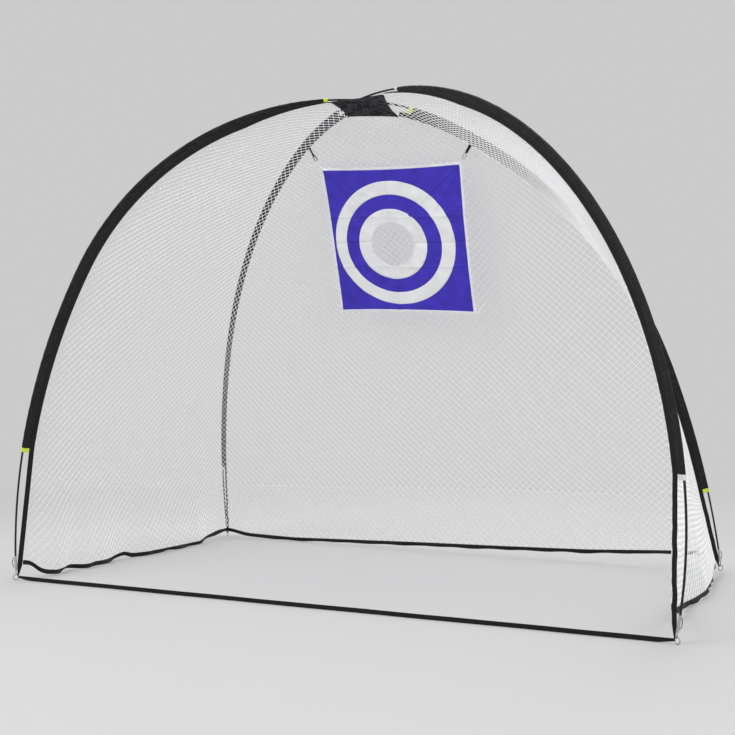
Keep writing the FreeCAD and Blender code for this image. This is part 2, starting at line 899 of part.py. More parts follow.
def corner_tie(x, net):
    """Cord from a lower corner of the target to the nearest point of the net behind it."""
    corner = on_target(x, target_side)
    start = corner + (fall + along * math.copysign(1, x)).normalize() * (cord_d + cord_gap)
    reached = net.distToShape(Part.Vertex(start))[1][0][0]
    direction = (reached - start).normalize()
    end = reached - direction * (cord_d + cord_gap)
    cord = Part.makeCylinder(cord_d / 2, (end - start).Length, start, direction)
    return fused([cord, Part.makeSphere(cord_d, start), Part.makeSphere(cord_d, end)])


def elastic_loop(one):
    """Short elastic loop on the outer side of the end ferrule."""
    top = ferrule_rim(one) - end_ferrule_length + elastic_margin
    low = top + elastic_chord
    seat = -end_ferrule_od / 2 - elastic_d / 2
    points = [
        one.at(top, seat),
        one.at((top + low) / 2, seat - elastic_bulge),
        one.at(low, seat),
    ]
    path = Part.Wire(Part.Arc(*points).toShape())
    start = path.Edges[0].tangentAt(path.Edges[0].FirstParameter)
    section = Part.Wire(Part.makeCircle(elastic_d / 2, points[0], start))
    return path.makePipeShell([section], True, False)


def build_poles():
    """Fibreglass sections, their ferrules and the shock cords."""
    pairs = {"first_pole": (front_left, rear_right), "second_pole": (front_right, rear_left)}
    for name, (one, other) in pairs.items():
        reach = crown_section_length / 2 - butt_gap
        crown_tube = both_halves(one, other, (reach, reach), pole_radius, pole_bore / 2)
        save(crown_tube, name + "_crown_section")
        cord = both_halves(one, other, (pole_end(one), pole_end(other)), shock_cord_d / 2)
        save(cord, name + "_shock_cord")
        ferrules = joint_ferrules(one) + joint_ferrules(other)
        save(Part.makeCompound(ferrules), name + "_joint_ferrules")
    for one in legs:
        for number, tube in enumerate(pole_sections(one), start=1):
            save(tube, one.name + "_pole_section_" + str(number))


def build_feet():
    """Ferrule, pin and ring at each foot."""
    for one in legs:
        save(end_ferrule(one), one.name + "_end_ferrule")
        save(foot_pin(one), one.name + "_pin")
        save(foot_ring(one), one.name + "_ring")
    save(Part.makeCompound([elastic_loop(one) for one in legs]), "foot_elastic_loops")
    save(ground_strap(), "front_ground_strap")


def build_cloth():
    """Sleeves, tapes, tags, crown patch, net panels and hems."""
    for one in legs:
        save(sleeve(one), one.name + "_sleeve")
        save(edge_tape(one), one.name + "_edge_tape")
    save(Part.makeCompound(tags(front_left) + tags(rear_right)), "yellow_sleeve_tags")
    save(Part.makeCompound(tags(front_right) + tags(rear_left)), "grey_sleeve_tags")
    save(crown_patch(), "crown_patch")
    sides = {
        "left": (front_left, rear_left),
        "back": (rear_left, rear_right),
        "right": (rear_right, front_right),
    }
    panels = {}
    for name, (one, other) in sides.items():
        panels[name] = net_panel(one, other)
        save(panels[name], name + "_net")
        save(hem_tape(one, other), name + "_hem_tape")
    return panels["back"]


def build_target(back_net):
    """Target cloth with its print, binding, hangers and ties."""
    save(target_cloth(), "target_cloth")
    save(target_binding(), "target_binding")
    save(target_ring(), "target_ring")
    save(target_disc(disc_diameter, hole_diameter, target_thickness), "target_disc")
    hangers = {"left": (left_anchor, -half_side), "right": (right_anchor, half_side)}
    for name, (anchor, x) in hangers.items():
        corner = on_target(x, 0)
        save(hanger_loop(anchor, corner), name + "_hanger_loop")
        save(hanger_cord(anchor, corner), name + "_hanger_cord")
    ties = [corner_tie(-half_side, back_net), corner_tie(half_side, back_net)]
    save(Part.makeCompound(ties), "target_corner_ties")


build_poles()
build_feet()
back_net_panel = build_cloth()
build_target(back_net_panel)

print("hinge", left_anchor, right_anchor)
for one_leg in legs:
    print(one_leg.name, "ring centre", ring_centre(one_leg), "axis", one_leg.side)
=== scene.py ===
"""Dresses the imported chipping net: cloth sleeves, webbing, knotted nets and the hanging target."""
import math

import bmesh
import bpy
import numpy as np
from mathutils import Matrix


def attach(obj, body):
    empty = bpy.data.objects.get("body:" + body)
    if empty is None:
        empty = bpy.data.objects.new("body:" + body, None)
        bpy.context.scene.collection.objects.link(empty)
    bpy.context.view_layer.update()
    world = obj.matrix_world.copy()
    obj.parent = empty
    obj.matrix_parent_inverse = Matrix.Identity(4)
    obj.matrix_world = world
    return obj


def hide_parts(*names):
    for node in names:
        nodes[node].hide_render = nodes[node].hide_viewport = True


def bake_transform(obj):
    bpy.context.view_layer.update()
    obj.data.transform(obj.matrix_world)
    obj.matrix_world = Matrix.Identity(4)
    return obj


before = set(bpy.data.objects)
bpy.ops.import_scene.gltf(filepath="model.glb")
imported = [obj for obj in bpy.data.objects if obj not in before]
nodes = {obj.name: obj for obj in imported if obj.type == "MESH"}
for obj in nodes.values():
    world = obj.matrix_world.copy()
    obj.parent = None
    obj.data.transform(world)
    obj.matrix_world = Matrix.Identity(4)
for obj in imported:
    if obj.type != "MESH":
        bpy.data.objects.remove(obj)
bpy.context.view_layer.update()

# Sizes repeated from the construction model, in metres
frame_width = 3.050
frame_depth = 1.975
strap_setback = 0.00575
crown_height = 2.360
crown_forward = 0.295
crown_left = 0.060
crown_turn = 23.5
shoulder_turn = 66.0
pole_d = 0.0095
crossing_gap = 0.0005
pin_wire = 0.004
ring_d = 0.030
ring_wire = 0.004
eye_fit = 0.0005
ferrule_d = 0.0112
ferrule_length = 0.070
pin_neck = 0.012
sleeve_web = 0.028
sleeve_radius = 0.0071
seam_half = 0.0012
tag_length = 0.020
tag_margin = 0.003
tape_width = 0.023
tape_thickness = 0.002
tape_ring_width = 0.008
tape_ring_angle = 42.0
tape_play = 0.0012
tape_narrows = 0.038
webbing_fold = 0.0013
loop_fit = 0.0003
loop_half_angle = 19.0
patch_thickness = 0.002
patch_gap = 0.0003
net_thickness = 0.002
hem_width = 0.022
seam_gap = 0.0006
strap_width = 0.020
strap_thickness = 0.0016
strap_taper = 0.060
strap_ring_width = 0.011
target_side = 0.785
target_lean = 26.0
target_drop = 0.113
target_shift = 0.008
cloth_thickness = 0.0016
binding_width = 0.012
binding_thickness = 0.0026
ring_print = 0.0006
disc_radius = 0.199
hole_radius = 0.123
anchor_left = 0.550
anchor_right = 0.603
anchor_gap = 0.0078
hanger_length = 0.070
hanger_width = 0.015
hanger_webbing = 0.0015
cord_d = 0.0025
knot_d = 0.009
elastic_d = 0.003
elastic_chord = 0.046
elastic_bulge = 0.012
elastic_margin = 0.008

# Sizes that only the scene has, in metres; the disc and hole lie off the solid target's middle
net_bar = 0.0285
twine_radius = 0.00155
net_knot_radius = 0.0026
hem_wobble = 0.003
patch_size = (0.290, 0.186)
patch_seats = (0.0065, 0.0125, 0.052, 0.052)
strap_sway = 0.0045
disc_x, disc_y = -0.033, 0.016
seen_radius = disc_radius - 0.006
print_radius_outer, print_radius_inner = 0.345, 0.275
level_folds = [(0.264, 0.0036), (0.400, -0.0034), (0.532, 0.0036)]
upright_fold = (-0.036, 0.0030)
fold_turns, fold_bend = 9.0, 0.004
left_slope, right_slope = 0.93, 0.80
band_open_half = 0.0075
elastic_rise = elastic_bulge * 0.6

frame_middle = frame_depth / 2 - strap_setback
pole_radius = pole_d / 2
ring_mean = (ring_d - ring_wire) / 2
wire_radius = ring_wire / 2
eye_mean = wire_radius + eye_fit + pin_wire / 2
tape_inner = sleeve_web + tape_width
half_side = target_side / 2
up = np.array([0.0, 0.0, 1.0])


# Camera at the photograph's angle
def unit(v):
    v = np.asarray(v, float)
    return v / np.linalg.norm(v, axis=-1, keepdims=True)


yaw, pitch, roll = -0.400573, 0.038732, 0.014289
look = np.array([math.sin(yaw) * math.cos(pitch), math.cos(yaw) * math.cos(pitch), math.sin(pitch)])
level = np.array([math.cos(yaw), -math.sin(yaw), 0.0])
raised = np.cross(level, look)
cam_x = level * math.cos(roll) + raised * math.sin(roll)
cam_y = -level * math.sin(roll) + raised * math.cos(roll)
camera = bpy.data.objects.new("camera", bpy.data.cameras.new("camera"))
bpy.context.scene.collection.objects.link(camera)
camera.data.sensor_width = 36.0
camera.data.lens = 51.288
camera.data.clip_end = 100.0
placed = np.eye(4)
placed[:3, 0], placed[:3, 1], placed[:3, 2] = cam_x, cam_y, -look
placed[:3, 3] = (1.973787, -3.997655, 0.844809)
camera.matrix_world = Matrix(placed.tolist())
bpy.context.scene.camera = camera


# Meshes from arrays
def linked(name, data):
    obj = bpy.data.objects.new(name, data)
    bpy.context.scene.collection.objects.link(obj)
    return obj


def new_mesh(name, verts, faces, uvs=None, material=None, smooth=True):
    """Object from vertices and faces, turned outward; uvs is one pair for each face corner."""
    mesh = bpy.data.meshes.new(name)
    mesh.from_pydata(np.asarray(verts, float).tolist(), [], [list(map(int, f)) for f in faces])
    if uvs is not None:
        layer = mesh.uv_layers.new(name="UVMap")
        layer.data.foreach_set("uv", np.asarray(uvs, np.float32).ravel())
    turned = bmesh.new()
    turned.from_mesh(mesh)
    bmesh.ops.recalc_face_normals(turned, faces=turned.faces)
    turned.to_mesh(mesh)
    turned.free()
    if smooth:
        mesh.shade_smooth()
    mesh.update()
    if material is not None:
        mesh.materials.append(material)
    return linked(name, mesh)


def grid_quads(rows, cols, around, closed):
    """Vertex numbers and UV numbers of the quads of a grid, closed around its columns or its rows."""
    r, c = np.meshgrid(np.arange(rows if closed else rows - 1), np.arange(cols if around else cols - 1),
                       indexing="ij")
    r, c = r.ravel(), c.ravel()
    below, after = (r + 1) % rows, (c + 1) % cols
    quads = np.stack([r * cols + c, r * cols + after, below * cols + after, below * cols + c], 1)
    wide = cols + 1 if around else cols
    marks = np.stack([r * wide + c, r * wide + c + 1, (r + 1) * wide + c + 1, (r + 1) * wide + c], 1)
    return quads, marks


def tube_mesh(name, rings, across, along, material, closed=False):
    """Tube from rings of points (rows x cols x 3). across and along are its UVs in metres, with one
    column more than the rings, and one row more where the tube closes on itself."""
    rows, cols = rings.shape[:2]
    quads, marks = grid_quads(rows, cols, True, closed)
    uv = np.stack(np.broadcast_arrays(across, np.reshape(along, (-1, 1))), -1)
    flat = uv.reshape(-1, 2)
    faces = quads.tolist()
    corner_uvs = [flat[marks.ravel()]]
    if not closed:
        faces.append(list(range(cols))[::-1])
        faces.append([(rows - 1) * cols + k for k in range(cols)])
        corner_uvs.append(uv[0, :cols][::-1])
        corner_uvs.append(uv[-1, :cols])
    return new_mesh(name, rings.reshape(-1, 3), faces, np.concatenate(corner_uvs), material)


def loop_mesh(name, rings, uv, material):
    """Ring-shaped piece from closed sections (rows x cols x 3), with a UV pair for each point."""
    quads = grid_quads(rings.shape[0], rings.shape[1], True, True)[0]
    flat = uv.reshape(-1, 2)
    return new_mesh(name, rings.reshape(-1, 3), quads, flat[quads.ravel()], material)


def slab_mesh(name, top, low, uv, material):
    """Closed sheet between two grids of points."""
    rows, cols = top.shape[:2]
    quads = grid_quads(rows, cols, False, False)[0]
    number = np.arange(rows * cols).reshape(rows, cols)
    rim = np.concatenate([number[0], number[1:, -1], number[-1, :-1][::-1], number[1:-1, 0][::-1]])
    after = np.roll(rim, -1)
    count = rows * cols
    sides = np.stack([rim, after, after + count, rim + count], 1)
    faces = np.concatenate([quads, quads[:, ::-1] + count, sides])
    flat = np.concatenate([uv.reshape(-1, 2)] * 2)
    verts = np.concatenate([top.reshape(-1, 3), low.reshape(-1, 3)])
    return new_mesh(name, verts, faces, flat[faces.ravel()], material)


def ripples(seed, count, low, high):
    """Smooth random field of one or two coordinates, about -1 to 1; low and high are waves per metre."""
    rng = np.random.default_rng(seed)
    angle = rng.uniform(0, 2 * math.pi, count)
    size = rng.uniform(low, high, count) * 2 * math.pi
    phase = rng.uniform(0, 2 * math.pi, count)

    def field(a, b=0.0):
        total = 0.0
        for k in range(count):
            total = total + np.sin(size[k] * (a * math.cos(angle[k]) + b * math.sin(angle[k])) + phase[k])
        return total / math.sqrt(count) * 0.8

    return field


def ease(x):
    """Smooth step from 0 to 1."""
    x = np.clip(x, 0.0, 1.0)
    return x * x * (3 - 2 * x)


def path_length(points):
    """Length along a row of points, from its start."""
    steps = np.linalg.norm(np.diff(points, axis=0), axis=1)
    return np.concatenate([[0.0], np.cumsum(steps)])


# The legs, as in the construction model, but with sleeves that end 25 mm lower
class Leg:
    """Three tangent arcs in a leaning plane, from the crown to the foot."""

    def __init__(self, name, sign_x, sign_y, crown, shoulder, foot_turn,
                 top, bottom_up, hem_low, reach, narrow):
        self.name = name
        out = np.array([sign_x * frame_width / 2, sign_y * frame_depth / 2, 0.0])
        ground = out + [0.0, frame_middle, 0.0]
        self.crown = crown
        self.out = unit(out)
        self.width = (ground - crown) @ self.out
        below = ground - (crown + self.out * self.width)
        self.height = np.linalg.norm(below)
        self.down = unit(below)
        self.side = np.cross(self.out, self.down)
        self.ring_y = self.height - (ring_mean + wire_radius / abs(self.down[2]))
        foot_y = self.ring_y - ring_mean - eye_mean
        t = np.radians([0.0, crown_turn, shoulder_turn, foot_turn])
        across, fall = np.diff(np.sin(t)), -np.diff(np.cos(t))
        rest_x, rest_y = self.width - shoulder * across[1], foot_y - shoulder * fall[1]
        det = across[0] * fall[2] - across[2] * fall[0]
        first = (rest_x * fall[2] - across[2] * rest_y) / det
        last = (across[0] * rest_y - rest_x * fall[0]) / det
        self.turns, self.radii = t, np.array([first, shoulder, last])
        self.ends = np.concatenate([[0.0], np.cumsum(self.radii * np.diff(t))])
        self.foot = self.ends[-1]
        step_x, step_y = self.radii * across, self.radii * fall
        self.centre_x = np.concatenate([[0.0], np.cumsum(step_x)])[:3] - self.radii * np.sin(t[:3])
        self.centre_y = np.concatenate([[0.0], np.cumsum(step_y)])[:3] + self.radii * np.cos(t[:3])
        self.top = top
        self.bottom = self.foot - bottom_up
        self.hem_low = hem_low
        self.reach = reach
        self.narrow = narrow

    def turn(self, place):
        place = np.asarray(place, float)
        index = np.clip(np.searchsorted(self.ends, place, side="right") - 1, 0, 2)
        return index, self.turns[index] + (place - self.ends[index]) / self.radii[index]

    def flat(self, place, inset=0.0):
        index, turn = self.turn(place)
        radius = self.radii[index] - inset
        x = self.centre_x[index] + radius * np.sin(turn)
        return np.stack([x, self.centre_y[index] - radius * np.cos(turn)], -1)

    def spot(self, flat, side=0.0):
        flat = np.asarray(flat, float)
        side = np.asarray(side, float)
        reach = flat[..., :1] * self.out + flat[..., 1:] * self.down
        return self.crown + reach + side[..., None] * self.side

    def at(self, place, inset=0.0, side=0.0):
        return self.spot(self.flat(place, inset), side)

    def heading(self, place):
        turn = self.turn(place)[1][..., None]
        return self.out * np.cos(turn) + self.down * np.sin(turn)

    def inward(self, place):
        turn = self.turn(place)[1][..., None]
        return -self.out * np.sin(turn) + self.down * np.cos(turn)

    def drawn_in(self, place, narrow, full):
        """Inset of a seam that narrows towards the crown patch, over the crown arc."""
        share = np.clip((np.asarray(place) - self.reach) / (self.ends[1] - self.reach), 0, 1)
        return narrow + (full - narrow) * share

    def web(self, place):
        """Inset of the seam between the sleeve and the tape."""
        return self.drawn_in(place, self.narrow[0], sleeve_web)

    def tape_edge(self, place):
        """Inset of the tape's inner edge."""
        return self.drawn_in(place, self.narrow[1], tape_inner)

    def ring_centre(self):
        return self.spot([self.width, self.ring_y])

    def tape_ends(self):
        """Flat end points of the tape's straight run, outer and inner edge."""
        middle = self.flat(self.bottom, sleeve_web + tape_width / 2)
        angle = math.radians(tape_ring_angle)
        reach = ring_mean + wire_radius + loop_fit + webbing_fold / 2
        end = np.array([self.width - reach * math.sin(angle), self.ring_y - reach * math.cos(angle)])
        step = unit(end - middle)
        across = np.array([step[1], -step[0]]) * tape_ring_width / 2
        return end + across, end - across

    def low_tape(self):
        """Flat points on the tape's edges beside the ferrule, where it begins to narrow to the ring."""
        place, outer = self.foot - tape_narrows, ferrule_d / 2 + tape_play
        return self.flat(place, outer), self.flat(place, outer + tape_width)

    def tape_point(self, height, inset=0.0):
        """Point on the inner edge of the tape below the sleeve, at a height."""
        knees = np.array([self.flat(self.bottom, tape_inner), self.low_tape()[1], self.tape_ends()[1]])
        fall = self.height + height / self.down[2]
        return self.spot([np.interp(fall, knees[:, 1], knees[:, 0]) - inset, fall])


front_narrow, rear_narrow = (0.0085, 0.0125), (sleeve_web, tape_inner)
lower_crown = np.array([-crown_left, frame_middle - crown_forward, crown_height])
upper_crown = lower_crown + up * (pole_d + crossing_gap)
front_left = Leg("front_left", -1, -1, lower_crown, 1.450, 93.0, 0.172, 0.605, 0.075, 0.165, front_narrow)
rear_right = Leg("rear_right", 1, 1, lower_crown, 2.290, 79.0, 0.240, 0.425, 0.080, 0.195, rear_narrow)
front_right = Leg("front_right", 1, -1, upper_crown, 1.690, 107.5, 0.280, 0.605, 0.125, 0.185, front_narrow)
rear_left = Leg("rear_left", -1, 1, upper_crown, 2.035, 92.0, 0.190, 0.425, 0.035, 0.140, rear_narrow)
legs = [front_left, front_right, rear_right, rear_left]


# Node trees: shared shader groups and the growing of repeated pieces
class Tree:
    """A node tree, with short ways to add and join nodes."""

    def __init__(self, tree):
        self.tree = tree

    def node(self, kind, settings=(), **inputs):
        node = self.tree.nodes.new(kind)
        for key, value in dict(settings).items():
            setattr(node, key, value)
        for key, value in inputs.items():
            name = key.replace("_", " ")
            socket = node.inputs[int(key[1:])] if key[0] == "i" and key[1:].isdigit() else node.inputs[name]
            if isinstance(value, bpy.types.NodeSocket):
                self.tree.links.new(value, socket)
            else:
                socket.default_value = value
        return node

    def add(self, kind, settings=(), **inputs):
        return self.node(kind, settings, **inputs).outputs[0]

    def math(self, operation, a, b=0.0, c=0.0):
        return self.add("ShaderNodeMath", {"operation": operation}, i0=a, i1=b, i2=c)

    def wave(self, value, pitch):
        """Sine of a length in metres, with its pitch in metres."""
        turns = self.math("DIVIDE", value, pitch)
        return self.math("SINE", self.math("MULTIPLY", turns, 2 * math.pi))

    def noise(self, where, scale, detail=2.0, roughness=0.5):
        return self.add("ShaderNodeTexNoise", Vector=where, Scale=scale, Detail=detail, Roughness=roughness)

    def ranged(self, value, low, high, to_low=0.0, to_high=1.0):
        return self.add("ShaderNodeMapRange", i0=value, i1=low, i2=high, i3=to_low, i4=to_high)

    def mixed(self, factor, a, b):
        node = self.node("ShaderNodeMix", {"data_type": "RGBA"}, Factor=factor)
        self.tree.links.new(a, node.inputs[6])
        self.tree.links.new(b, node.inputs[7])
        return node.outputs[2]

    def bump(self, height, strength, distance, under=None):
        more = {} if under is None else {"Normal": under}
        return self.add("ShaderNodeBump", Height=height, Strength=strength, Distance=distance, **more)


def new_group(kind, name, inputs, outputs):
    """Node group with named sockets: its tree, its inputs and its outputs."""
    tree = bpy.data.node_groups.new(name, kind)
    for socket_name, socket_kind, value in inputs:
        socket = tree.interface.new_socket(socket_name, in_out="INPUT", socket_type=socket_kind)
        if value is not None:
            socket.default_value = value
    for socket_name, socket_kind in outputs:
        tree.interface.new_socket(socket_name, in_out="OUTPUT", socket_type=socket_kind)
    return Tree(tree), tree.nodes.new("NodeGroupInput").outputs, tree.nodes.new("NodeGroupOutput").inputs


def joined(made, **outputs):
    """Links values to the outputs of a group."""
    tree, leave = made
    for name, value in outputs.items():
        tree.tree.links.new(value, leave[name.replace("_", " ")])
    return tree.tree


vector, number, colour_kind = "NodeSocketVector", "NodeSocketFloat", "NodeSocketColor"
shape_kind, material_kind = "NodeSocketGeometry", "NodeSocketMaterial"
flat_input, where_input = ("Flat", vector, None), ("Where", vector, None)


def shader_group(name, inputs, *numbers):
    """Shader group that puts out numbers."""
    return new_group("ShaderNodeTree", name, inputs, [(output, number) for output in numbers])


def plain_weave():
    """Threads of a plain weave over flat coordinates."""
    tree, entry, leave = shader_group("plain_weave", [flat_input, ("Pitch", number, 0.001)], "Height")
    flat = tree.node("ShaderNodeSeparateXYZ", Vector=entry["Flat"]).outputs
    threads = tree.math("MULTIPLY", tree.wave(flat[0], entry["Pitch"]), tree.wave(flat[1], entry["Pitch"]))
    return joined((tree, leave), Height=threads)


def herringbone():
    """Slanted ribs of webbing: x across, y along."""
    inputs = [flat_input, ("Pitch", number, 0.0016)]
    tree, entry, leave = shader_group("herringbone", inputs, "Height", "Ribs")
    flat = tree.node("ShaderNodeSeparateXYZ", Vector=entry["Flat"]).outputs
    slant = tree.math("ADD", flat[1], tree.math("PINGPONG", flat[0], 0.004))
    ribs = tree.wave(slant, entry["Pitch"])
    height = tree.math("MULTIPLY_ADD", tree.wave(flat[0], 0.0013), 0.35, ribs)
    return joined((tree, leave), Height=height, Ribs=ribs)


def cloth_wear():
    """Soft creases, fine grain and their mix, over object coordinates."""
    inputs = [where_input, ("Scale", number, 18.0)]
    tree, entry, leave = shader_group("cloth_wear", inputs, "Soft", "Fine", "Mixed")
    soft = tree.noise(entry["Where"], entry["Scale"], 4.0, 0.55)
    fine = tree.noise(entry["Where"], tree.math("MULTIPLY", entry["Scale"], 14.0), 3.0, 0.6)
    both = tree.math("MULTIPLY_ADD", soft, 0.7, tree.math("MULTIPLY", fine, 0.3))
    return joined((tree, leave), Soft=soft, Fine=fine, Mixed=both)


def three_tones():
    """Colour from a value: dark, middle and light."""
    sockets = [("Value", number, 0.5), ("Dark", colour_kind, None), ("Middle", colour_kind, None),
               ("Light", colour_kind, None)]
    tree, entry, leave = new_group("ShaderNodeTree", "three_tones", sockets, [("Colour", colour_kind)])
    low = tree.ranged(entry["Value"], 0.30, 0.52)
    high = tree.ranged(entry["Value"], 0.52, 0.75)
    tone = tree.mixed(high, tree.mixed(low, entry["Dark"], entry["Middle"]), entry["Light"])
    return joined((tree, leave), Colour=tone)


def two_reliefs():
    """Normal from a broad height and a fine one on it."""
    sockets = [("Broad", number, 0.5), ("Broad Depth", number, 0.004), ("Fine", number, 0.5),
               ("Fine Depth", number, 0.0003)]
    tree, entry, leave = new_group("ShaderNodeTree", "two_reliefs", sockets, [("Normal", vector)])
    under = tree.bump(entry["Broad"], 0.35, entry["Broad Depth"])
    return joined((tree, leave), Normal=tree.bump(entry["Fine"], 0.35, entry["Fine Depth"], under))


def laid_fibres():
    """Grain of a laid or braided cord."""
    inputs = [where_input, ("Lay", number, 900.0)]
    tree, entry, leave = shader_group("laid_fibres", inputs, "Grain", "Tone")
    grain = tree.noise(entry["Where"], entry["Lay"], 2.0)
    broad = tree.noise(entry["Where"], 6.0, 2.0)
    tone = tree.math("MULTIPLY_ADD", grain, 0.5, tree.math("MULTIPLY", broad, 0.5))
    return joined((tree, leave), Grain=grain, Tone=tone)


def drawn_marks():
    """Fine marks along drawn metal or fibres, and broad spots of wear."""
    inputs = [where_input, ("Stretch", vector, None)]
    tree, entry, leave = shader_group("drawn_marks", inputs, "Lines", "Spots")
    stretched = tree.add("ShaderNodeMapping", Vector=entry["Where"], Scale=entry["Stretch"])
    lines = tree.noise(stretched, 1.0, 4.0, 0.6)
    return joined((tree, leave), Lines=lines, Spots=tree.noise(entry["Where"], 120.0, 4.0, 0.6))


def fold_lines():
    """Creases of the folded target over its flat coordinates: level, upright and from its upper corners; the
    mask carries painted shade and a dip of relief along them.
    """
    tree, entry, leave = shader_group("fold_lines", [flat_input, ("Width", number, 0.003)], "Mask")
    flat = tree.node("ShaderNodeSeparateXYZ", Vector=entry["Flat"]).outputs

    def crease(away):
        return tree.ranged(tree.math("ABSOLUTE", away), 0.0, entry["Width"], 1.0, 0.0)

    creases = []
    for level, _ in level_folds:
        bend = tree.math("SINE", tree.math("MULTIPLY", flat[0], fold_turns))
        bend = tree.math("MULTIPLY", bend, fold_bend)
        creases.append(crease(tree.math("SUBTRACT", flat[1], tree.math("ADD", bend, level))))
    creases.append(tree.math("MULTIPLY", crease(tree.math("ADD", flat[0], -upright_fold[0])), 0.6))
    for side, slope in ((1.0, left_slope), (-1.0, right_slope)):
        run = tree.math("MULTIPLY_ADD", flat[0], side, half_side)
        fade = tree.ranged(run, 0.12, 0.30, 1.0, 0.0)
        creases.append(tree.math("MULTIPLY", crease(tree.math("MULTIPLY_ADD", run, -slope, flat[1])), fade))
    mask = creases[0]
    for line in creases[1:]:
        mask = tree.math("MAXIMUM", mask, line)
    return joined((tree, leave), Mask=mask)


def crumples():
    """Mask of sharp small creases of crumpled thin cloth, over object coordinates; in woven cloth it raises
    their relief and carries painted highlights on their ridges.
    """
    tree, entry, leave = shader_group("crumples", [where_input, ("Scale", number, 20.0)], "Mask")
    cloud = tree.node("ShaderNodeTexNoise", Vector=entry["Where"], Scale=14.0).outputs["Color"]
    bent = tree.add("ShaderNodeMixRGB", {"blend_type": "ADD"}, i0=0.05, i1=entry["Where"], i2=cloud)
    edges = tree.add("ShaderNodeTexVoronoi", {"feature": "DISTANCE_TO_EDGE"}, Vector=bent,
                     Scale=entry["Scale"])
    return joined((tree, leave), Mask=tree.ranged(edges, 0.0, 0.07, 1.0, 0.0))


def growth_group(name, *sizes):
    """Geometry tree with named sizes and a material."""
    inputs = [("Geometry", shape_kind, None), *sizes, ("Material", material_kind, None)]
    return new_group("GeometryNodeTree", name, inputs, [("Geometry", shape_kind)])


def growth_end(tree, entry, leave, shape):
    """Smooth shading and the material, at the end of a growing tree."""
    smooth = tree.add("GeometryNodeSetShadeSmooth", Geometry=shape)
    finished = tree.add("GeometryNodeSetMaterial", Geometry=smooth, Material=entry["Material"])
    return joined((tree, leave), Geometry=finished)


def twine_growth():
    """A tube along each edge of a mesh, and a knot on each point marked as one."""
    tree, entry, leave = growth_group("twine_growth", ("Twine Radius", number, 0.001),
                                      ("Knot Radius", number, 0.002), ("Seed", "NodeSocketInt", 1))
    lines = tree.add("GeometryNodeMeshToCurve", Mesh=entry["Geometry"])
    section = tree.add("GeometryNodeCurvePrimitiveCircle", Resolution=4, Radius=entry["Twine Radius"])
    tubes = tree.add("GeometryNodeCurveToMesh", Curve=lines, Profile_Curve=section)
    bead = tree.add("GeometryNodeMeshUVSphere", Segments=4, Rings=2, Radius=entry["Knot Radius"])
    marked = tree.add("GeometryNodeInputNamedAttribute", {"data_type": "BOOLEAN"}, Name="knot")
    turn = tree.add("FunctionNodeRandomValue", {"data_type": "FLOAT_VECTOR"}, i0=(0.0, 0.0, 0.0),
                    i1=(6.0, 6.0, 6.0), Seed=entry["Seed"])
    knots = tree.add("GeometryNodeInstanceOnPoints", Points=entry["Geometry"], Selection=marked,
                     Instance=bead, Rotation=turn)
    real = tree.add("GeometryNodeRealizeInstances", Geometry=knots)
    both = tree.node("GeometryNodeJoinGeometry")
    for part in (tubes, real):
        tree.tree.links.new(part, both.inputs[0])
    return growth_end(tree, entry, leave, both.outputs[0])


def stitch_growth():
    """Short thread stitches at even steps along the edges of a mesh."""
    tree, entry, leave = growth_group("stitch_growth", ("Step", number, 0.005), ("Length", number, 0.003),
                                      ("Thread", number, 0.0006))
    lines = tree.add("GeometryNodeMeshToCurve", Mesh=entry["Geometry"])
    spaced = tree.node("GeometryNodeCurveToPoints", {"mode": "LENGTH"}, Curve=lines, Length=entry["Step"])
    points = spaced.outputs
    bead = tree.add("GeometryNodeMeshIcoSphere", Radius=0.5, Subdivisions=1)
    size = tree.add("ShaderNodeCombineXYZ", X=entry["Thread"], Y=entry["Thread"], Z=entry["Length"])
    rows = tree.add("GeometryNodeInstanceOnPoints", Points=points["Points"], Instance=bead,
                    Rotation=points["Rotation"], Scale=size)
    real = tree.add("GeometryNodeRealizeInstances", Geometry=rows)
    return growth_end(tree, entry, leave, real)


def grown(obj, tree, **values):
    """Runs a tree on an object and keeps its result as plain mesh."""
    modifier = obj.modifiers.new("growth", "NODES")
    modifier.node_group = tree
    for item in tree.interface.items_tree:
        key = item.name.replace(" ", "_")
        if item.in_out == "INPUT" and key in values:
            modifier[item.identifier] = values[key]
    bpy.context.view_layer.update()
    shown = obj.evaluated_get(bpy.context.evaluated_depsgraph_get())
    mesh = bpy.data.meshes.new_from_object(shown)
    obj.modifiers.clear()
    bare = obj.data
    obj.data = mesh
    bpy.data.meshes.remove(bare)
    return obj


makers = (plain_weave, herringbone, cloth_wear, three_tones, two_reliefs, laid_fibres, drawn_marks,
          fold_lines, crumples, twine_growth, stitch_growth)
groups = {make.__name__: make() for make in makers}


# Materials
def shade(colour, share):
    """Lighter or darker tone of a colour, never quite black."""
    return tuple(min(1.0, max(0.0015, c * share)) for c in colour)


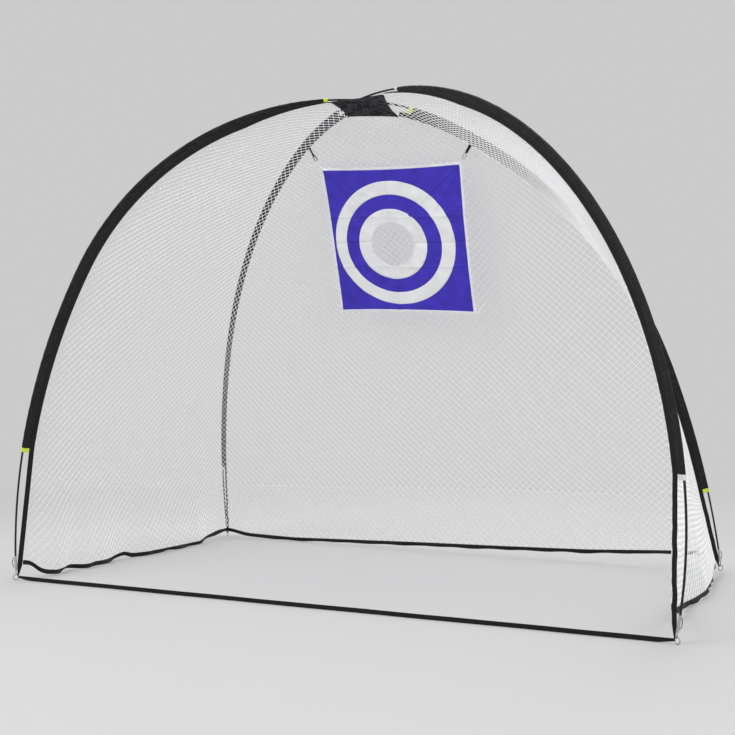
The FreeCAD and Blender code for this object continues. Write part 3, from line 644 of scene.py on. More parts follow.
class Surface(Tree):
    """A material's node tree around its shader."""

    def __init__(self, name, colour, roughness, **sockets):
        self.material = bpy.data.materials.new(name)
        self.material.use_nodes = True
        self.material.diffuse_color = (*colour, 1.0)
        super().__init__(self.material.node_tree)
        self.shader = self.tree.nodes["Principled BSDF"]
        self.shader.inputs["Base Color"].default_value = (*colour, 1.0)
        self.shader.inputs["Roughness"].default_value = roughness
        for key, value in sockets.items():
            self.shader.inputs[key.replace("_", " ")].default_value = value

    def place(self, kind="Object"):
        return self.tree.nodes.new("ShaderNodeTexCoord").outputs[kind]

    def shared(self, name, **inputs):
        """Outputs of one of the shared groups."""
        return self.node("ShaderNodeGroup", {"node_tree": groups[name]}, **inputs).outputs

    def toned(self, value, dark, middle, light):
        colours = [(*tone, 1.0) for tone in (dark, middle, light)]
        tones = self.shared("three_tones", Value=value, Dark=colours[0], Middle=colours[1], Light=colours[2])
        self.set("Base Color", tones["Colour"])

    def tinted(self, value, colour, dark, light):
        self.toned(value, shade(colour, dark), colour, shade(colour, light))

    def relieved(self, broad, depth, fine, fine_depth):
        """Broad and fine relief on the surface."""
        relief = self.shared("two_reliefs", Broad=broad, Broad_Depth=depth, Fine=fine, Fine_Depth=fine_depth)
        self.set("Normal", relief["Normal"])

    def set(self, socket, value):
        self.tree.links.new(value, self.shader.inputs[socket])


def woven(name, colour, roughness, spread, sheen=0.2, wrinkle=18.0, depth=0.004,
          folds=0.0, crumpled=0.0, ridge_highlight=0.30, **sockets):
    """Plain-woven cloth on flat coordinates in metres, with soft creases. folds is painted shade that darkens
    the target's fold lines; crumpled is the scale of small sharp creases, and ridged how much paler their
    ridges are painted, as painted highlights."""
    made = Surface(name, colour, roughness, Sheen_Weight=sheen, Sheen_Roughness=0.4, **sockets)
    threads = made.shared("plain_weave", Flat=made.place("UV"), Pitch=0.0010)
    wear = made.shared("cloth_wear", Where=made.place(), Scale=wrinkle)
    tone, broad = wear["Mixed"], wear["Soft"]
    # Painted shade: the colour is darkened along the target's fold lines, and the relief dips there too
    if folds:
        lines = made.shared("fold_lines", Flat=made.place("UV"), Width=0.0045)["Mask"]
        tone = made.math("MULTIPLY_ADD", lines, -folds, tone)
        broad = made.math("MULTIPLY_ADD", lines, -0.30, broad)
    # Painted highlight: the ridges of small crumpled creases are painted paler, and their relief rises
    if crumpled:
        ridges = made.shared("crumples", Where=made.place(), Scale=crumpled)["Mask"]
        tone = made.math("MULTIPLY_ADD", ridges, ridge_highlight, tone)
        broad = made.math("MULTIPLY_ADD", ridges, 0.35, broad)
    made.tinted(tone, colour, 1 - spread, 1 + spread)
    made.set("Roughness", made.ranged(wear["Fine"], 0.3, 0.7, roughness - 0.06, roughness + 0.08))
    made.relieved(broad, depth, threads["Height"], 0.0003)
    return made.material


def webbing(name, colour):
    """Herringbone webbing on flat coordinates in metres: x across, y along."""
    made = Surface(name, colour, 0.62, Sheen_Weight=0.03, Sheen_Roughness=0.45, Specular_IOR_Level=0.22)
    ribs = made.shared("herringbone", Flat=made.place("UV"), Pitch=0.0016)
    wear = made.shared("cloth_wear", Where=made.place(), Scale=30.0)
    both = made.math("MULTIPLY_ADD", ribs["Ribs"], 0.10, wear["Soft"])
    made.tinted(both, colour, 0.6, 1.8)
    made.set("Roughness", made.ranged(wear["Soft"], 0.3, 0.7, 0.55, 0.72))
    made.relieved(wear["Soft"], 0.002, ribs["Height"], 0.0005)
    return made.material


def twisted(name, colour, lay, spread=0.10, roughness=0.7):
    """Laid or braided cord."""
    made = Surface(name, colour, roughness, Sheen_Weight=0.2)
    fibres = made.shared("laid_fibres", Where=made.place(), Lay=lay)
    made.tinted(fibres["Tone"], colour, 1 - spread, 1 + spread / 2)
    made.relieved(fibres["Tone"], 0.001, fibres["Grain"], 0.0006)
    return made.material


def metal(name, colour, roughness, stretch, scratch):
    """Steel with fine drawn marks and small changes of shine."""
    made = Surface(name, colour, roughness, Metallic=1.0)
    marks = made.shared("drawn_marks", Where=made.place(), Stretch=stretch)
    made.tinted(marks["Spots"], colour, 0.86, 1.05)
    made.set("Roughness", made.ranged(marks["Lines"], 0.3, 0.7, roughness - 0.07, roughness + 0.12))
    made.set("Normal", made.bump(marks["Lines"], scratch, 0.0002))
    return made.material


def fibreglass():
    """Black resin-coated fibreglass: a clear coat over faint fibres along the rod."""
    made = Surface("fibreglass", (0.006, 0.006, 0.0065), 0.34, Coat_Weight=0.12, Coat_Roughness=0.12,
                   Specular_IOR_Level=0.3)
    marks = made.shared("drawn_marks", Where=made.place(), Stretch=(700, 700, 25))
    made.toned(marks["Spots"], (0.004, 0.004, 0.0045), (0.006, 0.006, 0.0065), (0.012, 0.012, 0.013))
    made.set("Roughness", made.ranged(marks["Spots"], 0.3, 0.75, 0.26, 0.46))
    made.set("Normal", made.bump(marks["Lines"], 0.18, 0.0002))
    return made.material


# Painted highlight: the sleeve's small crumpled creases get paler ridges painted, at the default ridge weight
sleeve_cloth = woven("sleeve_cloth", (0.0036, 0.0036, 0.0042), 0.44, 1.2, 0.02, 22.0, 0.010, crumpled=16.0,
                     Specular_IOR_Level=0.25)
# Painted highlight: strong paler ridges painted on the patch's crumpled creases; the wide tone spread lets
# them show and also widens its random mottling
patch_cloth = woven("patch_cloth", (0.0048, 0.0048, 0.0054), 0.38, 7.0, 0.02, 26.0, 0.014, crumpled=24.0,
                    ridge_highlight=0.8, Specular_IOR_Level=0.22)
yellow_cloth = woven("yellow_cloth", (0.56, 0.67, 0.02), 0.6, 0.10, 0.2, 40.0, 0.001)
grey_cloth = woven("grey_cloth", (0.66, 0.66, 0.67), 0.6, 0.08, 0.2, 40.0, 0.001)
# Painted shade: the blue and the white cloth of the target are painted darker along its fold lines
target_blue = woven("target_blue", (0.0480, 0.0290, 0.445), 0.52, 0.26, 0.03, 13.0, 0.014, folds=0.35,
                    Specular_IOR_Level=0.25)
white_cloth = woven("white_cloth", (0.78, 0.785, 0.79), 0.58, 0.10, 0.10, 11.0, 0.006, folds=0.45)
black_webbing = webbing("black_webbing", (0.0042, 0.0042, 0.0048))
net_twine = twisted("net_twine", (0.93, 0.935, 0.94), 900.0, 0.05)
white_cord = twisted("white_cord", (0.84, 0.84, 0.83), 1200.0, 0.12)
white_thread = twisted("white_thread", (0.80, 0.80, 0.80), 1500.0, 0.1)
black_thread = twisted("black_thread", (0.022, 0.022, 0.024), 1500.0, 0.3, 0.5)
tag_thread = twisted("tag_thread", (0.42, 0.46, 0.12), 1500.0, 0.1)
elastic = twisted("elastic", (0.014, 0.014, 0.014), 1500.0, 0.5, 0.6)
shock = twisted("shock_cord", (0.03, 0.03, 0.03), 1500.0, 0.4)
ferrule_steel = metal("ferrule_steel", (0.55, 0.55, 0.56), 0.32, (900, 900, 40), 0.25)
wire_steel = metal("wire_steel", (0.38, 0.38, 0.39), 0.28, (300, 300, 300), 0.12)
rod = fibreglass()
finishes = [("_pole_section_", rod), ("_crown_section", rod), ("ferrule", ferrule_steel),
            ("_pin", wire_steel), ("_ring", wire_steel), ("shock_cord", shock)]
for node_name in nodes:
    for mark, finish in finishes:
        if mark in node_name and node_name != "target_ring":
            materials = nodes[node_name].data.materials
            materials.clear()
            materials.append(finish)


def dress(obj, body, slot, *replaced):
    """The piece rides on its body and stands for its construction solids."""
    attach(obj, body)
    if replaced:
        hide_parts(*replaced)
    return obj


def stitches(name, lines, thread, body, slot, step=0.005, length=0.0034, width=0.0007):
    """Rows of stitches along lines of points."""
    counts = [len(line) for line in lines]
    starts = np.concatenate([[0], np.cumsum(counts)[:-1]])
    edges = [(start + k, start + k + 1) for start, count in zip(starts, counts) for k in range(count - 1)]
    mesh = bpy.data.meshes.new(name)
    mesh.from_pydata(np.concatenate(lines).tolist(), [tuple(map(int, edge)) for edge in edges], [])
    obj = grown(linked(name, mesh), groups["stitch_growth"], Step=step, Length=length, Thread=width,
                Material=thread)
    return dress(obj, body, slot)


# Sleeves: cloth round the pole, sewn together beside the webbing
def sleeve_outline(web, radius, seam, cols=44):
    """Outlines of a sleeve (rows x points): x across from the pole, y to the side. web is one value
    for each row."""
    web = np.asarray(web, float)[:, None]
    t = np.linspace(0, 1, cols // 2 + 1)[None, :]
    x = web - (web + radius) * (1 - np.cos(t * math.pi / 2) ** 1.15)
    lean = np.clip(x / web, 0, 1)
    round_part = np.sqrt(np.clip(1 - (np.minimum(x, 0) / radius) ** 2, 0, 1)) * radius
    y = np.where(x < 0, round_part, seam + (radius - seam) * (1 - lean) ** 1.35)
    y[:, -1] = 0.0
    back_x, back_y = x[:, 1:-1][:, ::-1], -y[:, 1:-1][:, ::-1]
    return np.concatenate([x, back_x, x[:, :1]], 1), np.concatenate([y, back_y, -y[:, :1]], 1)


def across_leg(one, place, x, y):
    """Points at distances inwards and sideways from the pole's middle line."""
    inward = one.inward(place)[:, None, :]
    return one.at(place)[:, None, :] + inward * x[..., None] + one.side * y[..., None]


def sleeve_piece(one):
    """Cloth sleeve of one leg, with puckers that run off the pole towards the seam."""
    start, end = one.top + tag_length * 0.6, one.bottom - 0.001
    place = np.linspace(start, end, int((end - start) / 0.006))
    web = one.web(place)
    x, y = sleeve_outline(web, sleeve_radius, seam_half)
    s = place[:, None]
    seed = legs.index(one) * 11 + 3
    broad = ripples(seed, 9, 2.0, 9.0)
    tight = ripples(seed + 1, 12, 14.0, 42.0)
    loose = ease((web[:, None] - x) / 0.010) * ease((x + sleeve_radius * 0.6) / 0.010)
    slant = s + 0.5 * (web[:, None] - x)
    lift = broad(slant, x * 3 + np.sign(y) * 5) * 0.0017 + tight(slant, x * 1.5 + np.sign(y) * 3) * 0.0010
    edge = ripples(seed + 2, 8, 6.0, 24.0)(place)[:, None] * 0.06
    shaped_x = np.where(x < 0, x * (1.03 + edge), x)
    shaped_y = y + np.sign(y) * np.maximum(lift * loose, -0.0006)
    across = np.concatenate([x, x[:, :1]], 1)
    rings = across_leg(one, place, shaped_x, shaped_y)
    obj = tube_mesh(one.name + "_cloth_sleeve", rings, across, place, sleeve_cloth)
    dress(obj, "frame", "sleeve_cloth", one.name + "_sleeve")
    column = int(np.argmin(np.abs(x[0, :20] - web[0] * 0.86)))
    lines = [rings[:, k] + one.side * (sign * 0.0002) for k, sign in ((column, 1), (-column - 1, -1))]
    stitches(one.name + "_sleeve_stitches", lines, black_thread, "frame", "sleeve_cloth")


def tag_piece(one, number):
    """Coloured binding folded over one mouth of a sleeve; the mouth is open round the pole."""
    start = (one.top, one.bottom)[number]
    rows = 11
    place = np.linspace(start, start + tag_length, rows)
    swell = 1 + (0.0006 * np.sin(np.linspace(0, math.pi, rows)) ** 0.3 + 0.0001) / sleeve_radius
    turned_in = [0.88, 0.80]
    if number == 0:
        place = np.concatenate([[start + 0.009, start], place])
        swell = np.concatenate([turned_in[::-1], swell])
    else:
        place = np.concatenate([place, [place[-1], place[-1] - 0.009]])
        swell = np.concatenate([swell, turned_in])
    web = np.minimum(sleeve_web - tag_margin, one.web(place))
    x, y = sleeve_outline(web, sleeve_radius, seam_half)
    along = place[:, None] - start
    fold = ripples(80 + legs.index(one) * 2 + number, 8, 30.0, 90.0)(along, x)
    y = (y + np.sign(y) * fold * 0.0003) * swell[:, None]
    x = x * swell[:, None]
    rings = across_leg(one, place, x, y)
    colour = "yellow" if one in (front_left, rear_right) else "grey"
    material = yellow_cloth if colour == "yellow" else grey_cloth
    name = one.name + ("_top_tag", "_bottom_tag")[number]
    across = np.linspace(0, 0.07, x.shape[1] + 1)[None, :]
    obj = tube_mesh(name, rings, across, along, material)
    dress(obj, "frame", colour + "_cloth", colour + "_sleeve_tags")
    row = 2 + 8 if number == 0 else 2
    outline = np.concatenate([rings[row], rings[row][:1]])
    middle = one.at(place[row])
    line = outline + unit(outline - middle) * 0.0002
    stitches(name + "_stitches", [line], tag_thread, "frame", colour + "_cloth", 0.0032, 0.0022, 0.0006)


# Webbing: flat bands with rounded edges
def band_piece(name, outer, inner, side, thickness, material, wave=None, closed=False):
    """Band between two edges (rows x 3 each); side is its normal."""
    rows = len(outer)
    across = inner - outer
    width = np.linalg.norm(across, axis=1, keepdims=True)
    step = across / width
    roll = np.linspace(-math.pi / 2, math.pi / 2, 5)
    flats = np.linspace(0, 1, 9)[1:-1]
    half = thickness / 2
    lift = np.zeros((rows, 1)) if wave is None else wave[:, None]
    points, shares = [], []
    for r in roll:
        points.append(outer + step * (half * (1 - math.cos(r))) + side * (half * math.sin(r) + lift))
        shares.append(np.zeros(rows))
    for f in flats:
        points.append(outer + step * (half + (width - 2 * half) * f) + side * (half + lift))
        shares.append(f * width[:, 0])
    for r in roll:
        points.append(inner - step * (half * (1 - math.cos(r))) + side * (lift - half * math.sin(r)))
        shares.append(width[:, 0])
    for f in flats[::-1]:
        points.append(outer + step * (half + (width - 2 * half) * f) + side * (lift - half))
        shares.append(f * width[:, 0])
    uv_across = np.stack(shares + [shares[0]], 1)
    along = path_length((outer + inner) / 2)
    if closed:
        along = np.append(along, along[-1] + 0.004)
        uv_across = np.concatenate([uv_across, uv_across[:1]])
    return tube_mesh(name, np.stack(points, 1), uv_across, along, material, closed)


def fold_piece(name, one, angle):
    """Webbing folded over a ring's wire: an outer and an inner skin, closed at both ends."""
    centre = one.ring_centre()
    turn = np.radians(np.linspace(angle - loop_half_angle, angle + loop_half_angle, 12))
    arm = -one.out * np.sin(turn)[:, None] - one.down * np.cos(turn)[:, None]
    bore = wire_radius + loop_fit
    around = np.linspace(0, 2 * math.pi, 20, endpoint=False)
    rows, along = [], []
    skins = [(k, bore + webbing_fold * (1.0 if 0 < k < 11 else 0.75)) for k in range(12)]
    skins += [(k, bore) for k in range(11, -1, -1)]
    for k, radius in skins:
        reach = arm[k] * (ring_mean + radius * np.cos(around))[:, None]
        rows.append(centre + reach + one.side * (radius * np.sin(around))[:, None])
        along.append(turn[k] * ring_mean)
    across = np.linspace(0, 0.022, 21)[None, :]
    return tube_mesh(name, np.stack(rows), across, along + along[:1], black_webbing, closed=True)


def tape_piece(one):
    """Webbing along the sleeve's inner edge, then straight down to the ring."""
    place = np.linspace(one.reach, one.bottom, 300)
    outer, inner = one.flat(place, one.web(place)), one.flat(place, one.tape_edge(place))
    for steps, ends in ((60, one.low_tape()), (16, one.tape_ends())):
        share = np.linspace(0, 1, steps)[1:, None]
        outer = np.concatenate([outer, outer[-1] + (ends[0] - outer[-1]) * share])
        inner = np.concatenate([inner, inner[-1] + (ends[1] - inner[-1]) * share])
    along = path_length(one.spot(outer))
    low = ease((along - along[299]) / 0.05) * ease((along[-1] - along) / 0.04)
    wobble = ripples(40 + legs.index(one), 8, 3.0, 16.0)(along)
    wave = wobble * (0.0004 + 0.0016 * low)
    obj = band_piece(one.name + "_tape", one.spot(outer), one.spot(inner), one.side[None, :],
                     tape_thickness, black_webbing, wave)
    dress(obj, "frame", "webbing", one.name + "_edge_tape")
    fold = fold_piece(one.name + "_tape_fold", one, tape_ring_angle)
    dress(fold, "frame", "webbing", one.name + "_edge_tape")


for leg_one in legs:
    sleeve_piece(leg_one)
    tag_piece(leg_one, 0)
    tag_piece(leg_one, 1)
    tape_piece(leg_one)


# Net walls
def along_curve(v, distances, curve):
    """Points at distances along a curve."""
    return np.stack([np.interp(v, distances, curve[:, k]) for k in range(3)], -1)


class Panel:
    """Net between two legs. Flat coordinates: u level from the middle, v down along the middle."""

    def __init__(self, name, one, other, hem_points, seed):
        self.name, self.one, self.other, self.seed = name, one, other, seed
        self.curves = [self.edge(one), self.edge(other)]
        middle = (self.curves[0] + self.curves[1]) / 2
        self.v = path_length(middle)
        self.width = np.linalg.norm(self.curves[1] - self.curves[0], axis=1)
        self.depth = self.v[-1]
        self.hem_points = np.array(hem_points)
        self.bulge = ripples(seed, 7, 0.3, 1.1)

    def edge(self, one):
        """Net's edge along one leg, matched arc by arc to the other leg's."""
        cuts = [one.reach + seam_gap, one.ends[1], one.ends[2], one.bottom]
        runs = []
        for a, b in zip(cuts, cuts[1:]):
            place = np.linspace(a, b, 60, endpoint=False)
            runs.append(one.at(place, one.tape_edge(place) + seam_gap + net_thickness / 2))
        low = one.tape_point(one.hem_low + hem_width + seam_gap, seam_gap + net_thickness / 2)
        foot = one.at(one.bottom, tape_inner + seam_gap + net_thickness / 2)
        runs.append(foot + (low - foot) * np.linspace(0, 1, 60)[:, None])
        return np.concatenate(runs)

    def half_width(self, v):
        return np.interp(v, self.v, self.width) / 2

    def hem_shift(self, share):
        """How far the visible hem leaves the straight line between the legs: down and inwards, evened
        out over a short length."""
        near = np.asarray(share)[..., None] + np.linspace(-0.012, 0.012, 5)
        places, downs, inwards = self.hem_points.T
        return np.interp(near, places, downs).mean(-1), np.interp(near, places, inwards).mean(-1)

    def point(self, u, v):
        u, v = np.asarray(u, float), np.asarray(v, float)
        a, b = (along_curve(v, self.v, curve) for curve in self.curves)
        share = np.clip(0.5 + u / (2 * self.half_width(v)), 0, 1)
        p = a + (b - a) * share[..., None]
        across = unit(b - a)
        below = along_curve(v + 0.01, self.v, self.curves[0])
        normal = unit(np.cross(across, unit(below - a + 1e-9 * up)))
        free = np.sin(math.pi * share) ** 0.7 * ease(v / 0.4) * ease((self.depth - v) / 0.3)
        p = p + normal * (self.bulge(u, v) * 0.010 * free)[..., None]
        down, inwards = self.hem_shift(share)
        pull = ease((v - (self.depth - 0.34)) / 0.34)
        outwards = unit(np.cross(up, across) * [1, 1, 0])
        sign = np.sign((([0.0, frame_middle - 0.1, 0.0] - p) * outwards).sum(-1))[..., None]
        return p - up * (down * pull)[..., None] + outwards * sign * (inwards * pull)[..., None]


def strands(panel, bar, slant, tilt):
    """Knots and twine pieces of a diamond mesh, as rows of flat points. slant makes the diamonds tall,
    and tilt turns them."""
    step_v = bar * math.sqrt(2) * slant / 2
    step_u = bar * math.sqrt(2) / slant / 2
    spare = abs(math.sin(tilt)) * max(panel.depth, panel.width.max() / 2)
    low, high = -int(spare / step_v) - 1, int((panel.depth + spare) / step_v) + 4
    reach = int((panel.width.max() / 2 + spare) / step_u) + 3
    grid_u, grid_v = np.meshgrid(np.arange(-reach, reach + 1), np.arange(low, high), indexing="ij")
    warp = ripples(panel.seed + 5, 8, 0.3, 1.2)
    plain_u, plain_v = grid_u * step_u, grid_v * step_v
    u = plain_u * math.cos(tilt) + plain_v * math.sin(tilt) + warp(plain_u, plain_v) * 0.006
    v = plain_v * math.cos(tilt) - plain_u * math.sin(tilt) + 0.35 * step_v
    v = v + warp(plain_v, plain_u + 7) * 0.006
    even = (grid_u + grid_v) % 2 == 0
    inside = even & (np.abs(u) < panel.half_width(np.clip(v, 0, panel.depth))) & (v > 0) & (v < panel.depth)
    pairs = []
    for rising in (False, True):
        a = (slice(1, None) if rising else slice(0, -1), slice(0, -1))
        b = (slice(0, -1) if rising else slice(1, None), slice(1, None))
        use = even[a] & (inside[a] | inside[b])
        start = np.stack([u[a][use], v[a][use]], 1)
        end = np.stack([u[b][use], v[b][use]], 1)
        pairs.append((start, end, inside[a][use], inside[b][use]))
    start, end, in_a, in_b = (np.concatenate(part) for part in zip(*pairs))

    def clipped(inner, outer):
        low, high = np.zeros(len(inner)), np.ones(len(inner))
        for _ in range(18):
            half = (low + high) / 2
            p = inner + (outer - inner) * half[:, None]
            fits = np.abs(p[:, 0]) < panel.half_width(np.clip(p[:, 1], 0, panel.depth))
            fits &= (p[:, 1] > 0) & (p[:, 1] < panel.depth)
            low, high = np.where(fits, half, low), np.where(fits, high, half)
        return inner + (outer - inner) * low[:, None]

    only_a, only_b = in_a & ~in_b, in_b & ~in_a
    end[only_a] = clipped(start[only_a], end[only_a])
    start[only_b] = clipped(end[only_b], start[only_b])
    keep = np.linalg.norm(end - start, axis=1) > 0.002
    return start[keep], end[keep], np.stack([u[inside], v[inside]], 1)


# Share of the way between the legs, how far down and how far inwards the hem lies
hem_shapes = {
    "left": [(0, 0, 0), (0.03, 0.012, 0.0), (0.065, 0.058, 0.01), (0.10, 0.068, 0.04), (0.14, 0.066, 0.025),
             (0.18, 0.058, 0.0), (0.205, 0.064, 0.030), (0.23, 0.064, 0.050), (0.26, 0.061, 0.030),
             (0.30, 0.060, 0.04), (0.34, 0.058, 0.02), (0.38, 0.050, 0.0), (0.42, 0.040, 0.0),
             (0.445, 0.056, 0.01), (0.50, 0.054, 0.045), (0.62, 0.050, 0.05), (0.78, 0.044, 0.05),
             (0.86, 0.029, 0.0), (0.93, 0.005, 0.0), (1, 0, 0)],
    "back": [(0, 0, 0), (0.05, 0.028, 0.004), (0.16, 0.040, 0.01), (0.3, 0.036, 0.0), (0.45, 0.030, 0.006),
             (0.62, 0.028, 0.0), (0.78, 0.022, 0.006), (0.9, 0.008, 0.0), (1, 0, 0)],
    "right": [(0, 0, 0), (0.06, 0.050, -0.02), (0.18, 0.084, -0.028), (0.30, 0.088, -0.034),
              (0.44, 0.095, -0.030), (0.54, 0.100, -0.004), (0.62, 0.103, 0.028), (0.75, 0.085, 0.030),
              (0.90, 0.040, 0.015), (1, 0, 0)],
}
panels = [
    Panel("left", front_left, rear_left, hem_shapes["left"], 21),
    Panel("back", rear_left, rear_right, hem_shapes["back"], 31),
    Panel("right", rear_right, front_right, hem_shapes["right"], 41),
]


def net_piece(panel, slant, tilt):
    """Knotted mesh: the edges and points of a bare mesh, grown into twine and knots."""
    parts = strands(panel, net_bar, slant, tilt)
    start, end, knots = (panel.point(part[:, 0], part[:, 1]) for part in parts)
    count = len(start)
    mesh = bpy.data.meshes.new(panel.name + "_net_mesh")
    mesh.from_pydata(np.concatenate([start, end, knots]).tolist(), [(k, k + count) for k in range(count)], [])
    marks = np.arange(2 * count + len(knots)) >= 2 * count
    mesh.attributes.new("knot", "BOOLEAN", "POINT").data.foreach_set("value", marks)
    obj = grown(linked(mesh.name, mesh), groups["twine_growth"], Twine_Radius=twine_radius,
                Knot_Radius=net_knot_radius, Seed=panel.seed, Material=net_twine)
    return dress(obj, "frame", "net_twine", panel.name + "_net")


def hem_piece(panel):
    """Hem tape, wavy where the net lies slack near the ground."""
    share = np.linspace(0, 1, 260)
    half = panel.half_width(panel.depth)
    top = panel.point((share - 0.5) * 2 * half, np.full(260, panel.depth))
    wobble = ripples(panel.seed + 9, 9, 1.0, 7.0)
    reach = path_length(top)
    free = ease(reach / 0.08) * ease((reach[-1] - reach) / 0.08)
    along = unit(np.gradient(top, axis=0))
    lying = unit(np.cross(up, along))
    lean = wobble(reach, 3) * 0.45 * free
    fall_line = -up * np.cos(lean)[:, None] + lying * np.sin(lean)[:, None]
    low = top + fall_line * hem_width + up * (wobble(reach) * hem_wobble * free)[:, None]
    low[:, 2] = np.maximum(low[:, 2], 0.002)
    top = np.where((top[:, 2:] - low[:, 2:]) < 0.012, low - fall_line * 0.020, top)
    normal = unit(np.cross(along, fall_line))
    obj = band_piece(panel.name + "_hem", low, top, normal, 0.0022, black_webbing)
    dress(obj, "frame", "webbing", panel.name + "_hem_tape")
    seam = top + (low - top) * 0.16
    lines = [seam + normal * (sign * 0.0012) for sign in (1, -1)]
    stitches(panel.name + "_hem_stitches", lines, black_thread, "frame", "webbing")


for net_panel, net_slant, net_tilt in zip(panels, (0.80, 1.0, 0.95), (0.148, 0.0, 0.0)):
    net_piece(net_panel, net_slant, net_tilt)
    hem_piece(net_panel)


# Crown patch: cloth drawn out to the four tapes, creased under the crossing poles
def crown_patch():
    wide, deep = patch_size
    a, b = np.meshgrid(np.linspace(0, 1, 71), np.linspace(0, 1, 71))
    corners = [one.at(one.reach, seat) for one, seat in zip(legs, patch_seats)]
    weights = [(1 - a) * (1 - b), a * (1 - b), a * b, (1 - a) * b]
    points = sum(weight[..., None] * corner for weight, corner in zip(weights, corners))
    middle = lower_crown - up * (pole_radius + patch_gap + patch_thickness / 2)
    from_left, from_front = np.abs(2 * a - 1), np.abs(2 * b - 1)
    rim, along_rim = np.maximum(from_left, from_front), np.minimum(from_left, from_front)
    points = points + (1 - rim)[..., None] * (middle - np.mean(corners, axis=0))
    drawn = 0.085 * rim ** 4 * (1 - along_rim ** 2)
    points = points + (middle - points) * (drawn[..., None] * [1, 1, 0.2])
    crease = np.exp(-np.abs(from_left - from_front) / 0.035)
    fan = ripples(61, 10, 1.2, 3.4)(np.arctan2(2 * b - 1, 2 * a - 1), rim * 0.3) * 0.0030 * ease(rim / 0.35)
    pulled = ripples(62, 10, 24.0, 52.0)(a * wide, b * deep) * 0.0012
    lift = -0.0060 * crease - 0.0022 + (fan + pulled) * (1 - crease) * ease((1 - rim) / 0.08 + 0.3)
    layer = up * 0.0006
    low = points + up * lift[..., None]
    uv = np.stack([a * wide, b * deep], -1)
    obj = slab_mesh("crown_patch_cloth", low + layer, low - layer, uv, patch_cloth)
    dress(obj, "frame", "sleeve_cloth", "crown_patch")
    inner = low[4:-4, 4:-4] - layer * 1.3
    lines = [inner[0], inner[:, -1], inner[-1], inner[:, 0]]
    stitches("crown_patch_stitches", lines, black_thread, "frame", "sleeve_cloth")


# Ground strap, on edge between the two front rings
def ground_strap():
    start, end = (one.ring_centre() - one.out * ring_mean for one in (front_left, front_right))
    run = (end - start) * [1, 1, 0]
    length = np.linalg.norm(run)
    reach = np.linspace(0, length, 260)
    straight = start + unit(run) * reach[:, None]
    across = np.cross(up, unit(run))
    free = ease(reach / 0.2) * ease((length - reach) / 0.2)
    sway = ripples(51, 7, 0.4, 2.2)(reach) * strap_sway * free
    tip = ripples(52, 7, 0.5, 3.0)(reach) * 0.0022 * free
    half = strap_ring_width / 2
    knees = [0, strap_taper, length - strap_taper, length]
    bottom = np.interp(reach, knees, [start[2] - half, 0.0008, 0.0008, end[2] - half])
    top = np.interp(reach, knees, [start[2] + half, strap_width, strap_width, end[2] + half])
    edges = []
    for height, aside in ((bottom, sway), (top, sway + tip)):
        edge = straight + across * aside[:, None]
        edge[:, 2] = height
        edges.append(edge)
    obj = band_piece("front_strap", *edges, across[None, :], strap_thickness, black_webbing)
    dress(obj, "frame", "webbing", "front_ground_strap")
    for one in (front_left, front_right):
        fold = fold_piece(one.name + "_strap_fold", one, 90.0)
        dress(fold, "frame", "webbing", "front_ground_strap")


# Target: every layer follows one creased surface
anchor_inset = tape_inner + seam_gap + net_thickness + anchor_gap + hanger_webbing
left_anchor = rear_left.at(anchor_left, anchor_inset)
right_anchor = rear_right.at(anchor_right, anchor_inset)
target_along = unit(right_anchor - left_anchor)
plumb = unit(-up + target_along * target_along[2])
lean = math.radians(target_lean)
target_fall = plumb * math.cos(lean) + np.cross(target_along, plumb) * math.sin(lean)
target_front = np.cross(target_along, target_fall)
target_front = target_front * -np.sign(target_front[1])
top_middle = (left_anchor + right_anchor) / 2 + target_fall * target_drop + target_along * target_shift
corner_pulls = [(-0.008, -0.014), (-0.005, -0.038), (0.014, 0.026), (0.022, 0.004)]
broad_swell, small_swell = ripples(71, 6, 0.8, 2.4), ripples(72, 12, 5.0, 16.0)
disc_rumple = ripples(73, 12, 7.0, 22.0)
corner_creases = [(-half_side, left_slope), (half_side, right_slope), (-half_side, 0.55), (half_side, 1.35)]


def target_point(x, y, out=0.0):
    """Point on the cloth: x along its top edge from the middle, y down, out to the front."""
    a, b = x / target_side + 0.5, y / target_side
    weights = [(1 - a) * (1 - b), a * (1 - b), (1 - a) * b, a * b]
    pull_x = sum(weight * pull[0] for weight, pull in zip(weights, corner_pulls))
    pull_y = sum(weight * pull[1] for weight, pull in zip(weights, corner_pulls))
    pull_x = pull_x - 0.007 * (2 * a - 1) * (1 - (2 * b - 1) ** 2)
    pull_y = pull_y + (0.012 * (1 - b) - 0.008 * b) * (1 - (2 * a - 1) ** 2)
    lift = broad_swell(x, y) * 0.0045 + small_swell(x, y) * 0.0012
    for fold_line, size in level_folds:
        away = y - fold_line - fold_bend * np.sin(x * fold_turns)
        lift = lift + size * np.exp(-np.abs(away) / 0.010)
    lift = lift + upright_fold[1] * np.exp(-np.abs(x - upright_fold[0]) / 0.010)
    for corner, slope in corner_creases:
        inwards = -np.sign(corner)
        run = (x - corner) * inwards
        aside = (y - slope * run) / math.sqrt(1 + slope ** 2)
        lift = lift + 0.0058 * np.exp(-(aside / 0.009) ** 2) * np.exp(-run / 0.22) * ease(run / 0.02)
    spread = np.asarray(x + pull_x)[..., None] * target_along
    spread = spread + np.asarray(y + pull_y)[..., None] * target_fall
    return top_middle + spread + np.asarray(lift + out)[..., None] * target_front


def circle(middle_x, middle_y, radius, height):
    """Outline of a circle on the cloth, drawn out level; height is its height over its width."""
    def spot(turn):
        fall = half_side + middle_y + radius * height * np.sin(turn)
        return np.stack([middle_x + radius * np.cos(turn), fall], -1)

    return spot


def square(half):
    """Outline of a square around the middle of the cloth."""
    def spot(turn):
        size = half / np.maximum(np.abs(np.cos(turn)), np.abs(np.sin(turn)))
        return np.stack([size * np.cos(turn), half_side + size * np.sin(turn)], -1)

    return spot


